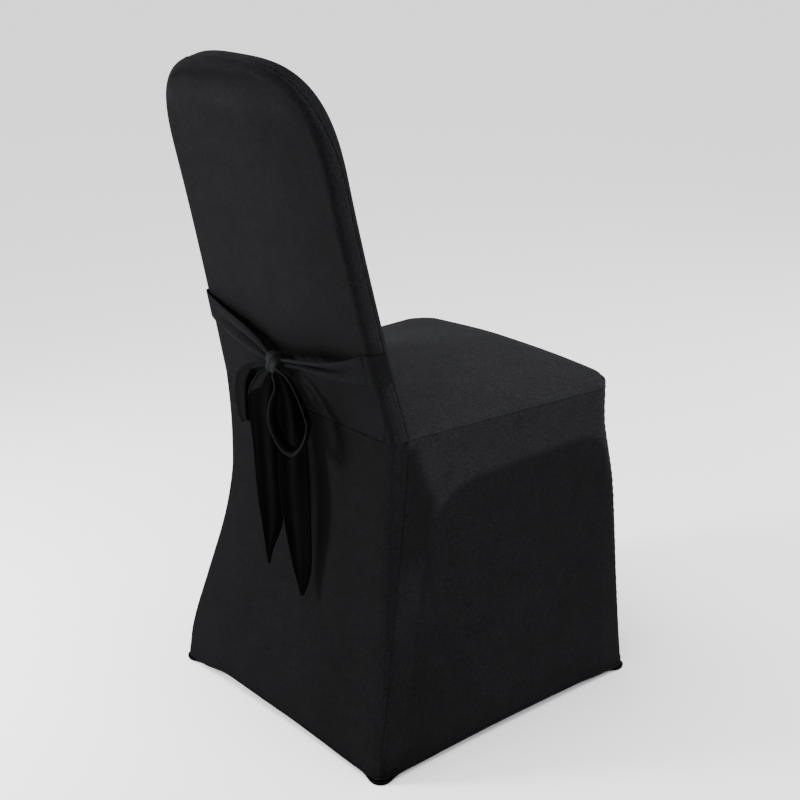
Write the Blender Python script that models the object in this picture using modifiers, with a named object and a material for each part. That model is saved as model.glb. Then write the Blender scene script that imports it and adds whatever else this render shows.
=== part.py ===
"""A stretch cover for a banquet chair, as it sits on the chair, with its sash ties knotted in a bow behind.

Metres, +Z up. The front of the seat faces -Y and the right hand of someone who sits in it is at -X.
The origin is on the floor, under the middle of the cover. The chair inside isn't built.
"""

import math
from collections import namedtuple

import bmesh
import bpy
from mathutils import Vector

# Driving dimensions of the whole cover
SEAT_HEIGHT = 0.456
REAR_Y = 0.1608
LEAN = math.radians(13.3)
BACK_LENGTH = 0.487
BACK_THICKNESS = 0.033
CLOTH = 0.0016
TIE_CLOTH = 0.0018
SEAM_GAP = 0.0004
CORNER_GAP = 0.0005
SEAM_RUN = 0.003

# Outline of the back seen square on: half widths at the seat and where the crown starts
BASE_HALF_WIDTH = 0.1875
CROWN_HALF_WIDTH = 0.1705
CROWN_START = 0.335
CROWN_POWER = 3.0

# Edge of the back: its roundings, and how far forward of its rear face the seam runs
REAR_ROUND = 0.009
FRONT_ROUND = 0.007
FRONT_ROUND_BASE = 0.003
SEAM_AT_BASE = 0.0285
SEAM_AT_SIDE = 0.0240
SEAM_AT_TOP = 0.0140
FRONT_BULGE = 0.010

# Seat: rounding of its edge, full and at the rear ends, and the height of its crown
SEAT_ROUND = 0.005
SEAT_ROUND_REAR = 0.003
SEAT_CROWN = 0.024
SEAT_CROWN_AT_BACK = 0.40

# Skirt: the height of the hem, from the rear right corner over the rear and from a rear corner forward,
# and how far it is drawn in between two feet. The side cloth hangs free under an arch.
Hem = namedtuple("Hem", "share rear side")
HEMS = [
    Hem(0.00, 0.0060, 0.0060),
    Hem(0.10, 0.0060, 0.0060),
    Hem(0.50, 0.0115, 0.0090),
    Hem(0.78, 0.0135, 0.0085),
    Hem(0.90, 0.0060, 0.0060),
    Hem(1.00, 0.0060, 0.0060),
]
HEM_DRAWN_IN = 0.002
END_DIP = 0.005
SIDE_DIP = 0.009
ARCH_AT_REAR = 0.160
ARCH_AT_FRONT = 0.070
FREE_CLOTH_FROM = 0.20

# The skirt's plan at a few heights: its corners if they were sharp, the radius of the front ones,
# and 0 to 1 for how far the rear seam has moved from the corner's middle to the side face
Level = namedtuple("Level", "z rear_y rear_x front_y front_x front_radius seam_forward")
LEVELS = [
    Level(0.000, 0.2217, 0.2330, -0.2693, 0.2240, 0.009, 0.0),
    Level(0.060, 0.2147, 0.2295, -0.2658, 0.2195, 0.010, 0.1),
    Level(0.150, 0.1937, 0.2125, -0.2603, 0.2150, 0.012, 0.3),
    Level(0.240, 0.1734, 0.1945, -0.2558, 0.2125, 0.016, 0.5),
    Level(0.310, 0.1627, 0.1850, -0.2508, 0.2105, 0.020, 0.7),
    Level(0.355, 0.1602, 0.1842, -0.2448, 0.2095, 0.026, 0.8),
    Level(0.400, 0.1597, 0.1848, -0.2393, 0.2085, 0.032, 0.9),
    Level(0.456, 0.1608, 0.1875, -0.2388, 0.2085, 0.034, 1.0),
]
REAR_CORNER_RADIUS = 0.009

# Pockets that slip under the feet
POCKET_REACH = 0.040
POCKET_RADIUS = 0.015
POCKET_PROUD = 0.0015
POCKET_TURN = 0.002

# Sash ties on the back: how far the inner face of the tie stands off the panel, the heights of its
# upper and lower edges, and the depth of its lengthwise fold. x is counted from the middle outward.
Strap = namedtuple("Strap", "x stand top bottom fold")
STRAP_CLEARANCE = 0.002
RIGHT_STRAP = [
    Strap(0.1720, 0.0020, 0.5845, 0.5435, 0.0000),
    Strap(0.1220, 0.0045, 0.5645, 0.5350, 0.0020),
    Strap(0.0800, 0.0065, 0.5505, 0.5310, 0.0030),
    Strap(0.0360, 0.0085, 0.5385, 0.5268, 0.0025),
    Strap(-0.0050, 0.0095, 0.5300, 0.5190, 0.0010),
]
LEFT_STRAP = [
    Strap(0.1720, 0.0020, 0.5895, 0.5500, 0.0000),
    Strap(0.1310, 0.0040, 0.5745, 0.5350, 0.0020),
    Strap(0.0880, 0.0060, 0.5615, 0.5235, 0.0030),
    Strap(0.0540, 0.0080, 0.5480, 0.5205, 0.0030),
    Strap(0.0330, 0.0095, 0.5340, 0.5180, 0.0010),
]

# The knot: an ellipsoid a little squarer than round
KNOT_CENTRE = Vector((0.0190, 0.1912, 0.5225))
KNOT_HALF = Vector((0.0125, 0.0110, 0.0145))
KNOT_POWER = 2.5
KNOT_GAP = 0.0006

# Free tails, from the knot down: both edges of the cloth at each height
Tail = namedtuple("Tail", "z left_x left_y right_x right_y fold")
LEFT_TAIL = [
    Tail(0.5045, 0.0300, 0.1982, 0.0215, 0.1922, 0.001),
    Tail(0.4950, 0.0440, 0.2052, 0.0180, 0.1907, 0.003),
    Tail(0.4700, 0.0580, 0.2112, 0.0150, 0.1902, 0.005),
    Tail(0.4000, 0.0502, 0.2107, 0.0125, 0.1892, 0.005),
    Tail(0.3250, 0.0428, 0.2102, 0.0085, 0.1892, 0.004),
    Tail(0.2850, 0.0345, 0.2097, 0.0140, 0.1907, 0.003),
    Tail(0.2500, 0.0275, 0.2092, 0.0215, 0.2012, 0.001),
    Tail(0.2300, 0.0235, 0.2087, 0.0222, 0.2067, 0.000),
]
RIGHT_TAIL = [
    Tail(0.5045, 0.0165, 0.1912, 0.0085, 0.1862, 0.001),
    Tail(0.4850, 0.0150, 0.1932, -0.0100, 0.1822, 0.003),
    Tail(0.4500, 0.0120, 0.1962, -0.0270, 0.1782, 0.005),
    Tail(0.4000, 0.0090, 0.1982, -0.0332, 0.1787, 0.005),
    Tail(0.3400, 0.0050, 0.1992, -0.0390, 0.1802, 0.004),
    Tail(0.2820, -0.0090, 0.1997, -0.0425, 0.1817, 0.004),
    Tail(0.2400, -0.0220, 0.2002, -0.0445, 0.1852, 0.002),
    Tail(0.2150, -0.0340, 0.2007, -0.0440, 0.1922, 0.001),
    Tail(0.2020, -0.0395, 0.2007, -0.0425, 0.1982, 0.000),
]

# Loops of the bow: the edge of the cloth nearer the viewer behind the chair, and the width of the
# cloth from there, along one direction for each loop
Loop = namedtuple("Loop", "x y z width")
RIGHT_LOOP_DIRECTION = Vector((0.42, -0.907, 0.0))
RIGHT_LOOP = [
    Loop(0.0060, 0.2042, 0.5060, 0.0070),
    Loop(-0.0080, 0.2112, 0.4950, 0.0110),
    Loop(-0.0083, 0.2192, 0.4759, 0.0160),
    Loop(-0.0120, 0.2242, 0.4544, 0.0190),
    Loop(-0.0195, 0.2222, 0.4331, 0.0200),
    Loop(-0.0314, 0.2182, 0.4186, 0.0200),
    Loop(-0.0445, 0.2132, 0.4156, 0.0200),
    Loop(-0.0561, 0.2082, 0.4306, 0.0200),
    Loop(-0.0595, 0.2032, 0.4513, 0.0190),
    Loop(-0.0529, 0.2012, 0.4657, 0.0170),
    Loop(-0.0370, 0.2012, 0.4916, 0.0120),
    Loop(-0.0190, 0.2012, 0.5100, 0.0080),
    Loop(0.0040, 0.2012, 0.5170, 0.0060),
]
LEFT_LOOP_DIRECTION = Vector((-0.88, -0.47, 0.0))
LEFT_LOOP = [
    Loop(0.0345, 0.1982, 0.5200, 0.0020),
    Loop(0.0620, 0.2022, 0.5130, 0.0110),
    Loop(0.0865, 0.2052, 0.4967, 0.0280),
    Loop(0.0996, 0.2062, 0.4788, 0.0330),
    Loop(0.0962, 0.2062, 0.4548, 0.0270),
    Loop(0.0905, 0.2052, 0.4330, 0.0200),
    Loop(0.0855, 0.2012, 0.4245, 0.0130),
    Loop(0.0880, 0.1962, 0.4330, 0.0200),
    Loop(0.0930, 0.1947, 0.4548, 0.0260),
    Loop(0.0900, 0.1937, 0.4788, 0.0260),
    Loop(0.0720, 0.1927, 0.4967, 0.0180),
    Loop(0.0470, 0.1922, 0.5060, 0.0080),
    Loop(0.0345, 0.1912, 0.5110, 0.0030),
]

# Grid counts
ARC = 3
ROWS_SKIRT = 11
COLUMNS_SIDE = 8
COLUMNS_HALF_END = 4
ROWS_BACK = 11
COLUMNS_BACK = 8
ACROSS_TIE = 4
STEPS_TIE = 2
KNOT_SEGMENTS = 14
KNOT_RINGS = 8


def mix(a, b, t):
    return a + (b - a) * t


def smooth(t):
    """0 to 1 with level ends."""
    t = max(0.0, min(1.0, t))
    return t * t * (3 - 2 * t)


def curve_between(before, low, high, after, t, span_before=1.0, span=1.0, span_after=1.0):
    """Value at t between low and high, on a smooth curve through all four."""
    start = (high - before) / (span_before + span) * span
    end = (after - low) / (span + span_after) * span
    return (
        (2 * t**3 - 3 * t**2 + 1) * low
        + (t**3 - 2 * t**2 + t) * start
        + (3 * t**2 - 2 * t**3) * high
        + (t**3 - t**2) * end
    )


def smooth_rows(rows, steps):
    """A table's rows with steps - 1 more between each two, on a smooth curve through them."""
    kind = type(rows[0])
    result = []
    for i in range(len(rows) - 1):
        four = [rows[max(i - 1, 0)], rows[i], rows[i + 1], rows[min(i + 2, len(rows) - 1)]]
        for k in range(steps):
            result.append(kind(*(curve_between(*values, k / steps) for values in zip(*four))))
    return result + [rows[-1]]


def at_height(z):
    """The skirt's Level at any height."""
    z = max(LEVELS[0].z, min(LEVELS[-1].z, z))
    i = max(k for k in range(len(LEVELS) - 1) if LEVELS[k].z <= z + 1e-9)
    low, high = LEVELS[i], LEVELS[i + 1]
    before = LEVELS[i - 1] if i > 0 else low
    after = LEVELS[i + 2] if i + 2 < len(LEVELS) else high
    spans = (max(low.z - before.z, 1e-6), high.z - low.z, max(after.z - high.z, 1e-6))
    t = (z - low.z) / spans[1]
    columns = list(zip(before, low, high, after))[1:]
    return Level(z, *(curve_between(*values, t, *spans) for values in columns))


def arc_steps(start, end, length):
    """(length, heading) of the chords of an arc that turns from one heading to another."""
    turn = (end - start) / ARC
    chord = length / ARC * (math.sin(turn / 2) / (turn / 2) if abs(turn) > 1e-6 else 1.0)
    return [(chord, start + turn * (k + 0.5)) for k in range(ARC)]


def corner_steps(seam_heading, radius, run_before):
    """Steps round a corner of 90 degrees with a seam in it, and the number of steps before the seam."""
    before = arc_steps(0.0, seam_heading, radius * seam_heading) + [(run_before, seam_heading)]
    rest = math.pi / 2 - seam_heading
    after = [(SEAM_RUN, seam_heading)] + arc_steps(seam_heading, math.pi / 2, max(radius * rest, 0.004))
    return before + after, len(before)


def half_plan(level):
    """The skirt's plan on the +X half, from the middle of the rear to the middle of the front, as
    (x, y), with the places of its rear and front seams in that list."""
    forward = level.seam_forward
    rear_steps, rear_before = corner_steps(
        mix(math.pi / 4, math.pi / 2, forward),
        mix(REAR_CORNER_RADIUS, REAR_ROUND, forward),
        mix(SEAM_RUN, SEAM_AT_BASE - REAR_ROUND, forward),
    )
    front_steps, front_before = corner_steps(math.pi / 4, level.front_radius, SEAM_RUN)
    rear_reach = sum(length * math.cos(heading) for length, heading in rear_steps)
    front_reach = sum(length * math.sin(heading) for length, heading in front_steps)

    start = level.rear_x - rear_reach
    points = [(start * k / COLUMNS_HALF_END, level.rear_y) for k in range(COLUMNS_HALF_END + 1)]
    rear_seam = COLUMNS_HALF_END + rear_before
    for length, heading in rear_steps:
        x, y = points[-1]
        points.append((x + length * math.cos(heading), y - length * math.sin(heading)))
    side = points[-1]
    corner = (level.front_x, level.front_y + front_reach)
    for k in range(1, COLUMNS_SIDE + 1):
        t = k / COLUMNS_SIDE
        points.append((mix(side[0], corner[0], t), mix(side[1], corner[1], t)))
    front_seam = len(points) - 1 + front_before
    for length, heading in front_steps:
        x, y = points[-1]
        points.append((x - length * math.sin(heading), y - length * math.cos(heading)))
    edge = points[-1][0]
    for k in range(1, COLUMNS_HALF_END + 1):
        points.append((edge * (1 - k / COLUMNS_HALF_END), level.front_y))
    return points, rear_seam, front_seam


def hem_height(kind, share):
    """Height of the hem at a share of the way between two corners."""
    i = max(k for k in range(len(HEMS) - 1) if HEMS[k].share <= share + 1e-9)
    t = (share - HEMS[i].share) / (HEMS[i + 1].share - HEMS[i].share)
    low, high = (hem.rear if kind == "rear" else hem.side for hem in HEMS[i : i + 2])
    return mix(low, high, smooth(t))


def on_legs(t):
    """0 on a leg at either end of a side and 1 between them."""
    return smooth(t / 0.3) * smooth((1 - t) / 0.3)


def drawn_in(kind, x, y, z):
    """How far the cloth lies inside the straight line between two legs."""
    level = at_height(z)
    height = z / SEAT_HEIGHT
    near_floor = HEM_DRAWN_IN * (1 - height) ** 4
    if kind == "side":
        t = (level.rear_y - y) / (level.rear_y - level.front_y)
        arch = mix(ARCH_AT_REAR, ARCH_AT_FRONT, smooth(t / 0.4))
        under = smooth((SEAT_HEIGHT - arch - z) / 0.05) * smooth(z / FREE_CLOTH_FROM)
        between = smooth((t - 0.10 - 0.10 * (1 - height)) / 0.14) * smooth((0.94 - t) / 0.12)
        return SIDE_DIP * under * between + near_floor * on_legs(t)
    half = level.rear_x if kind == "rear" else level.front_x
    share = on_legs((x / half + 1) / 2)
    return share * (near_floor + END_DIP * smooth((1 - height) * 3) * height)


def skirt_grid(kind, places):
    """Columns of points of one skirt panel, for its (side, place in the half plan) pairs."""
    floor = half_plan(LEVELS[0])[0]
    columns = []
    for side, place in places:
        floor_x, floor_y = floor[place]
        if kind == "side":
            share = (LEVELS[0].rear_y - floor_y) / (LEVELS[0].rear_y - LEVELS[0].front_y)
        else:
            share = (side * floor_x / LEVELS[0].rear_x + 1) / 2
        hem = hem_height(kind, share)
        column = []
        for k in range(ROWS_SKIRT + 1):
            z = mix(hem, SEAT_HEIGHT, k / ROWS_SKIRT)
            x, y = half_plan(at_height(z))[0][place]
            inward = drawn_in(kind, x, y, z)
            if kind == "side":
                column.append(Vector((side * (x - inward), y, z)))
            else:
                column.append(Vector((side * x, y - inward if kind == "rear" else y + inward, z)))
        columns.append(column)
    return columns


def drawn_back(grid, first=0.0, last=0.0, start=0.0, end=0.0):
    """The grid with its edge rows and columns drawn back by the given lengths, to open a seam."""
    grid = [list(row) for row in grid]
    if first:
        grid[0] = [a + (b - a).normalized() * first for a, b in zip(grid[0], grid[1])]
    if last:
        grid[-1] = [a + (b - a).normalized() * last for a, b in zip(grid[-1], grid[-2])]
    for row in grid:
        if start:
            row[0] = row[0] + (row[1] - row[0]).normalized() * start
        if end:
            row[-1] = row[-1] + (row[-2] - row[-1]).normalized() * end
    return grid


def cloth_material(name, colour, roughness):
    material = bpy.data.materials.new(name)
    material.use_nodes = True
    shader = material.node_tree.nodes["Principled BSDF"]
    shader.inputs["Base Color"].default_value = (*colour, 1.0)
    shader.inputs["Roughness"].default_value = roughness
    shader.inputs["Metallic"].default_value = 0.0
    return material


def add_cloth(name, grids, material, thickness, offset, inside=None):
    """A sheet of cloth from grids of points that share edges. With a point inside, the grids are the
    sheet's outer face."""
    bm = bmesh.new()
    for grid in grids:
        rows = [[bm.verts.new(point) for point in row] for row in grid]
        for a, b in zip(rows, rows[1:]):
            for k in range(len(a) - 1):
                bm.faces.new((a[k], a[k + 1], b[k + 1], b[k]))
    bmesh.ops.remove_doubles(bm, verts=bm.verts, dist=0.00005)
    bmesh.ops.recalc_face_normals(bm, faces=bm.faces)
    if inside is not None:
        outward = sum((f.calc_center_median() - inside).dot(f.normal) * f.calc_area() for f in bm.faces)
        if outward < 0:
            bmesh.ops.reverse_faces(bm, faces=bm.faces)
    mesh = bpy.data.meshes.new(name)
    bm.to_mesh(mesh)
    bm.free()
    mesh.materials.append(material)
    mesh.shade_smooth()
    piece = bpy.data.objects.new(name, mesh)
    COVER.objects.link(piece)
    solid = piece.modifiers.new("thickness", "SOLIDIFY")
    solid.thickness = thickness
    solid.offset = offset
    solid.use_even_offset = True
    return piece


def build_skirt(material):
    """The four panels that hang from the seat to the floor."""
    plan, rear_seam, front_seam = half_plan(at_height(SEAT_HEIGHT))
    middle = len(plan) - 1
    rear = [(-1, k) for k in range(rear_seam, 0, -1)] + [(1, k) for k in range(rear_seam + 1)]
    front = [(-1, k) for k in range(front_seam, middle)] + [(1, k) for k in range(middle, front_seam - 1, -1)]
    side = range(rear_seam, front_seam + 1)
    panels = {
        "skirt_back": ("rear", rear),
        "skirt_right": ("side", [(-1, k) for k in side]),
        "skirt_left": ("side", [(1, k) for k in side]),
        "skirt_front": ("front", front),
    }
    inside = Vector((0.0, -0.03, 0.2))
    half = SEAM_GAP / 2
    for name, (kind, places) in panels.items():
        grid = drawn_back(skirt_grid(kind, places), first=half, last=half, end=half)
        add_cloth(name, [grid], material, CLOTH, -1, inside)


def back_place(x, q, depth):
    """A point on or in the back: q along its lean from the seat up, and depth forward of its rear face."""
    lean = LEAN * smooth(q / 0.06)
    y = REAR_Y + q * math.sin(LEAN) - depth * math.cos(lean)
    return Vector((x, y, SEAT_HEIGHT + q * math.cos(LEAN) + depth * math.sin(lean)))


def back_half_width(q):
    """Half width of the back below its crown; it narrows more and more slowly."""
    return mix(BASE_HALF_WIDTH, CROWN_HALF_WIDTH, smooth(0.5 + q / CROWN_START / 2) * 2 - 1)


def back_outline():
    """Outline of the back as closely spaced (x, q), from its right foot over the crown to its left foot."""
    steps = 60
    rise = BACK_LENGTH - CROWN_START
    right = []
    for k in range(steps):
        q = CROWN_START * k / steps
        right.append((-back_half_width(q), q))
    for k in range(steps):
        angle = math.pi / 2 * k / steps
        x = CROWN_HALF_WIDTH * math.cos(angle) ** (2 / CROWN_POWER)
        right.append((-x, CROWN_START + rise * math.sin(angle) ** (2 / CROWN_POWER)))
    return right + [(0.0, BACK_LENGTH)] + [(-x, q) for x, q in reversed(right)]


def outline_stations():
    """Points round the back's outline with their outward normals: ROWS_BACK steps up each side and
    COLUMNS_BACK over the crown."""
    line = back_outline()
    lengths = [0.0]
    for a, b in zip(line, line[1:]):
        lengths.append(lengths[-1] + math.dist(a, b))
    total = lengths[-1]
    shoulder_q = mix(CROWN_START, BACK_LENGTH, 0.75)
    shoulder = next(lengths[k] for k in range(len(line)) if line[k][1] > shoulder_q)

    def point(length):
        length = max(0.0, min(total, length))
        k = min(max(i for i in range(len(line)) if lengths[i] <= length + 1e-9), len(line) - 2)
        t = (length - lengths[k]) / (lengths[k + 1] - lengths[k])
        return mix(line[k][0], line[k + 1][0], t), mix(line[k][1], line[k + 1][1], t)

    places = [shoulder * k / ROWS_BACK for k in range(ROWS_BACK)]
    crown = total - 2 * shoulder
    places += [shoulder + crown * k / COLUMNS_BACK for k in range(COLUMNS_BACK)]
    places += [total - shoulder * (1 - k / ROWS_BACK) for k in range(ROWS_BACK + 1)]
    stations = []
    for length in places:
        x, q = point(length)
        a, b = point(length - 0.004), point(length + 0.004)
        normal_x, normal_q = a[1] - b[1], (b[0] - a[0]) * smooth(q / 0.05)
        size = math.hypot(normal_x, normal_q)
        stations.append((x, q, normal_x / size, normal_q / size))
    return stations


def patch(boundary, rows, columns):
    """Points of a patch inside a boundary that runs up its right side, over the top and down its left
    side; the bottom is straight between its ends."""
    right = boundary[: rows + 1]
    top = boundary[rows : rows + columns + 1]
    left = list(reversed(boundary[rows + columns :]))
    grid = []
    for j in range(rows + 1):
        v = j / rows
        row = []
        for i in range(columns + 1):
            u = i / columns
            bottom = mix(right[0], left[0], u)
            corners = mix(bottom, mix(right[-1], left[-1], u), v)
            row.append(mix(bottom, top[i], v) + mix(right[j], left[j], u) - corners)
        grid.append(row)
    return grid


def seam_depth(q):
    """How far forward of the rear face the back's edge seam runs, at a height q along the back."""
    lower = mix(SEAM_AT_BASE, SEAM_AT_SIDE, smooth(q / 0.12))
    return mix(lower, SEAM_AT_TOP, smooth((q - CROWN_START) / (BACK_LENGTH - CROWN_START) / 0.9))


def build_outside_back(material):
    """Rear panel of the back, with the part of its edge up to the seam."""
    inset, border = [], []
    for x, q, nx, nq in outline_stations():
        strip = []
        for k in range(ARC + 1):
            angle = math.pi / 2 * k / ARC
            inward = REAR_ROUND * (1 - math.sin(angle))
            depth = REAR_ROUND * (1 - math.cos(angle))
            strip.append(back_place(x - nx * inward, q - nq * inward, depth))
        strip.append(back_place(x, q, seam_depth(q)))
        inset.append(Vector((x - nx * REAR_ROUND, q - nq * REAR_ROUND, 0.0)))
        border.append(strip)
    face = [[back_place(p.x, p.y, 0.0) for p in row] for row in patch(inset, ROWS_BACK, COLUMNS_BACK)]
    half = SEAM_GAP / 2
    grids = [drawn_back(face, first=half), drawn_back(border, first=half, last=half, end=half)]
    add_cloth("outside_back", grids, material, CLOTH, -1, back_place(0.0, 0.25, BACK_THICKNESS / 2))


def crease_q(x):
    """Height along the back of the crease where the seat meets it."""
    half = BASE_HALF_WIDTH - FRONT_ROUND_BASE
    crown = SEAT_CROWN * SEAT_CROWN_AT_BACK * (1 - min(1.0, abs(x) / half) ** 2.4)
    return SEAM_RUN + FRONT_ROUND_BASE + crown


def crease_corner(side, angle):
    """A point of the crease where it runs round the back's front edge, from the seam (0) to its face (90)."""
    x = side * (BASE_HALF_WIDTH - FRONT_ROUND_BASE * (1 - math.cos(angle)))
    depth = mix(SEAM_AT_BASE, BACK_THICKNESS, math.sin(angle))
    return back_place(x, SEAM_RUN + FRONT_ROUND_BASE * math.sin(angle), depth)


def build_inside_back(material):
    """Front panel of the back, from the crease at the seat up, with its part of the edge."""
    stations = outline_stations()
    ends = (0, len(stations) - 1)
    half = SEAM_GAP / 2
    inset, border = [], []
    for n, (x, q, nx, nq) in enumerate(stations):
        if n in ends:
            side = math.copysign(1.0, x)
            strip = [crease_corner(side, math.pi / 2 * k / ARC) for k in range(ARC + 1)]
            strip.insert(1, mix(strip[0], strip[1], 0.3))
            inset.append(Vector((strip[-1].x, crease_q(strip[-1].x), 0.0)))
        else:
            radius = mix(FRONT_ROUND_BASE, FRONT_ROUND, smooth(q / 0.10))
            strip = [back_place(x, q, seam_depth(q))]
            for k in range(ARC + 1):
                angle = math.pi / 2 * k / ARC
                inward = radius * (1 - math.cos(angle))
                depth = BACK_THICKNESS - radius * (1 - math.sin(angle))
                strip.append(back_place(x - nx * inward, q - nq * inward, depth))
            inset.append(Vector((x - nx * radius, q - nq * radius, 0.0)))
        border += drawn_back([strip], start=CORNER_GAP if n in ends else half)
    face = []
    flat = patch(inset, ROWS_BACK, COLUMNS_BACK)
    for j, row in enumerate(flat):
        v = j / ROWS_BACK
        points = []
        for i, p in enumerate(row):
            u = i / COLUMNS_BACK
            q = p.y + (crease_q(flat[0][i].x) - crease_q(flat[0][0].x)) * (1 - v) ** 3
            bulge = FRONT_BULGE * (1 - (2 * u - 1) ** 4) * smooth(v / 0.4) * (1 - v**4)
            points.append(back_place(p.x, q, BACK_THICKNESS + bulge))
        face.append(points)
    grids = [drawn_back(face, first=half), drawn_back(border, first=half, last=half)]
    add_cloth("inside_back", grids, material, CLOTH, -1, back_place(0.0, 0.25, BACK_THICKNESS / 2))


def build_seat(material):
    """Seat panel, drawn down over the cushion's edge to the seam with the skirt."""
    plan, rear_seam, front_seam = half_plan(at_height(SEAT_HEIGHT))
    half = [Vector((x, y, SEAT_HEIGHT)) for x, y in plan[rear_seam:]]
    outline = [Vector((-p.x, p.y, p.z)) for p in half] + list(reversed(half))[1:]
    rows = front_seam - rear_seam
    columns = len(outline) - 1 - 2 * rows
    last = len(outline) - 1

    edge = []
    for n, base in enumerate(outline):
        if n in (0, last):
            side = -1 if n == 0 else 1
            edge.append([base] + [crease_corner(side, math.pi / 2 * k / ARC) for k in range(ARC + 1)])
            continue
        along = outline[n + 1] - outline[n - 1]
        inward = Vector((-along.y, along.x, 0.0)).normalized()
        radius = mix(SEAT_ROUND_REAR, SEAT_ROUND, smooth((half[0].y - base.y) / 0.08))
        strip = [base]
        for k in range(ARC + 1):
            angle = math.pi / 2 * k / ARC
            rise = Vector((0.0, 0.0, SEAM_RUN + radius * math.sin(angle)))
            strip.append(base + rise + inward * (radius * (1 - math.cos(angle))))
        edge.append(strip)

    top = []
    for j, row in enumerate(patch([strip[-1] for strip in edge], rows, columns)):
        v = j / rows
        points = []
        for i, p in enumerate(row):
            across = 1 - abs(2 * i / columns - 1) ** 2.4
            along = mix(SEAT_CROWN_AT_BACK, 1.0, smooth(v / 0.45)) * (1 - v**8)
            points.append(p + Vector((0.0, 0.0, SEAT_CROWN * across * along)))
        top.append(points)
    top[0][1:-1] = [back_place(p.x, crease_q(p.x), BACK_THICKNESS) for p in top[0][1:-1]]
    gap = SEAM_GAP / 2
    grids = [drawn_back(top, first=gap), drawn_back(edge, first=gap, last=gap, start=gap)]
    add_cloth("seat_top", grids, material, CLOTH, -1, Vector((0.0, -0.05, 0.35)))


def build_pockets(material):
    """A shallow pocket at each corner of the hem, which slips under a foot."""
    level = LEVELS[0]
    corners = {
        "foot_pocket_rear_right": (-1, level.rear_x, level.rear_y),
        "foot_pocket_rear_left": (1, level.rear_x, level.rear_y),
        "foot_pocket_front_right": (-1, level.front_x, level.front_y),
        "foot_pocket_front_left": (1, level.front_x, level.front_y),
    }
    halfway = mix(POCKET_RADIUS, POCKET_REACH, 0.5)
    outline = [(POCKET_REACH, 0.0), (halfway, 0.0)]
    for k in range(ARC + 1):
        angle = math.pi / 2 * k / ARC
        outline.append((POCKET_RADIUS * (1 - math.sin(angle)), POCKET_RADIUS * (1 - math.cos(angle))))
    outline += [(0.0, halfway), (0.0, POCKET_REACH)]
    inner_end = (POCKET_REACH - 0.004, 0.006)
    top = HEMS[0].rear - SEAM_GAP

    for name, (side, corner_x, corner_y) in corners.items():

        def place(a, b, z):
            y = math.copysign(abs(corner_y) + POCKET_PROUD - b, corner_y)
            return Vector((side * (corner_x + POCKET_PROUD - a), y, z))

        upper, lower, sole, inner = [], [], [], []
        for n, (a, b) in enumerate(outline):
            t = n / (len(outline) - 1)
            upper.append(place(a, b, top))
            lower.append(place(a, b, POCKET_TURN))
            towards = Vector((POCKET_REACH - a, POCKET_REACH - b)).normalized() * POCKET_TURN
            sole.append(place(a + towards.x, b + towards.y, 0.0))
            inner.append(place(mix(*inner_end, t), mix(*reversed(inner_end), t), 0.0))
        inside = place(POCKET_REACH / 3, POCKET_REACH / 3, 0.02)
        add_cloth(name, [[upper, lower, sole, inner]], material, CLOTH, -1, inside)


def knot_reach(offset, axis):
    """Distance of the knot's surface from its centre along one axis, at an offset on the other two."""
    used = sum(min(1.0, abs(offset[k]) / KNOT_HALF[k]) ** KNOT_POWER for k in range(3) if k != axis)
    return KNOT_HALF[axis] * max(0.0, 1 - used) ** (1 / KNOT_POWER)


def against_knot(point):
    """Where a straight line from a point to the knot's centre comes to the knot."""
    offset = point - KNOT_CENTRE
    size = sum(abs(c / half) ** KNOT_POWER for c, half in zip(offset, KNOT_HALF)) ** (1 / KNOT_POWER)
    return KNOT_CENTRE + offset / size + offset.normalized() * KNOT_GAP


def build_knot(material):
    """The knot, as rings of a rounded lump."""
    bm = bmesh.new()
    bmesh.ops.create_uvsphere(bm, u_segments=KNOT_SEGMENTS, v_segments=KNOT_RINGS, radius=1.0)
    for vertex in bm.verts:
        size = sum(abs(c) ** KNOT_POWER for c in vertex.co) ** (-1 / KNOT_POWER)
        vertex.co = KNOT_CENTRE + Vector([c * size * half for c, half in zip(vertex.co, KNOT_HALF)])
    mesh = bpy.data.meshes.new("bow_knot")
    bm.to_mesh(mesh)
    bm.free()
    mesh.materials.append(material)
    mesh.shade_smooth()
    COVER.objects.link(bpy.data.objects.new("bow_knot", mesh))


def off_back(x, z, stand):
    """A point behind the back's rear face, at a height z and a distance from the face."""
    q = (z - SEAT_HEIGHT + stand * math.sin(LEAN)) / math.cos(LEAN)
    return back_place(x, q, -stand)


def build_strap(name, side, table, material):
    """A tie from the seam at the edge of the back, round its rear corner and across to the knot."""
    first = table[0]
    radius = REAR_ROUND + STRAP_CLEARANCE
    around = [(0.0010, -0.0210), (STRAP_CLEARANCE, -REAR_ROUND)]
    for k in range(1, ARC + 1):
        angle = math.pi / 2 * k / ARC
        around.append((radius * math.cos(angle) - REAR_ROUND, radius * math.sin(angle) - REAR_ROUND))
    rows = []
    for beyond, stand in around:
        row = []
        for k in range(ACROSS_TIE + 1):
            z = mix(first.top, first.bottom, k / ACROSS_TIE)
            half_width = back_half_width((z - SEAT_HEIGHT) / math.cos(LEAN))
            row.append(off_back(side * (half_width + beyond), z, stand))
        rows.append(row)
    for strap in smooth_rows(table, STEPS_TIE)[1:]:
        row = []
        for k in range(ACROSS_TIE + 1):
            v = k / ACROSS_TIE
            fold = strap.fold * math.sin(2 * math.pi * v)
            row.append(off_back(side * strap.x, mix(strap.top, strap.bottom, v), strap.stand + fold))
        rows.append(row)
    for k, point in enumerate(rows[-1]):
        offset = point - KNOT_CENTRE
        reach = knot_reach((0.0, min(0.0, offset.y + TIE_CLOTH), offset.z), 0)
        rows[-1][k] = Vector((KNOT_CENTRE.x + side * (reach + SEAM_GAP), point.y, point.z))
    add_cloth(name, [rows], material, TIE_CLOTH, 1, Vector((0.0, 0.0, KNOT_CENTRE.z)))


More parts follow.
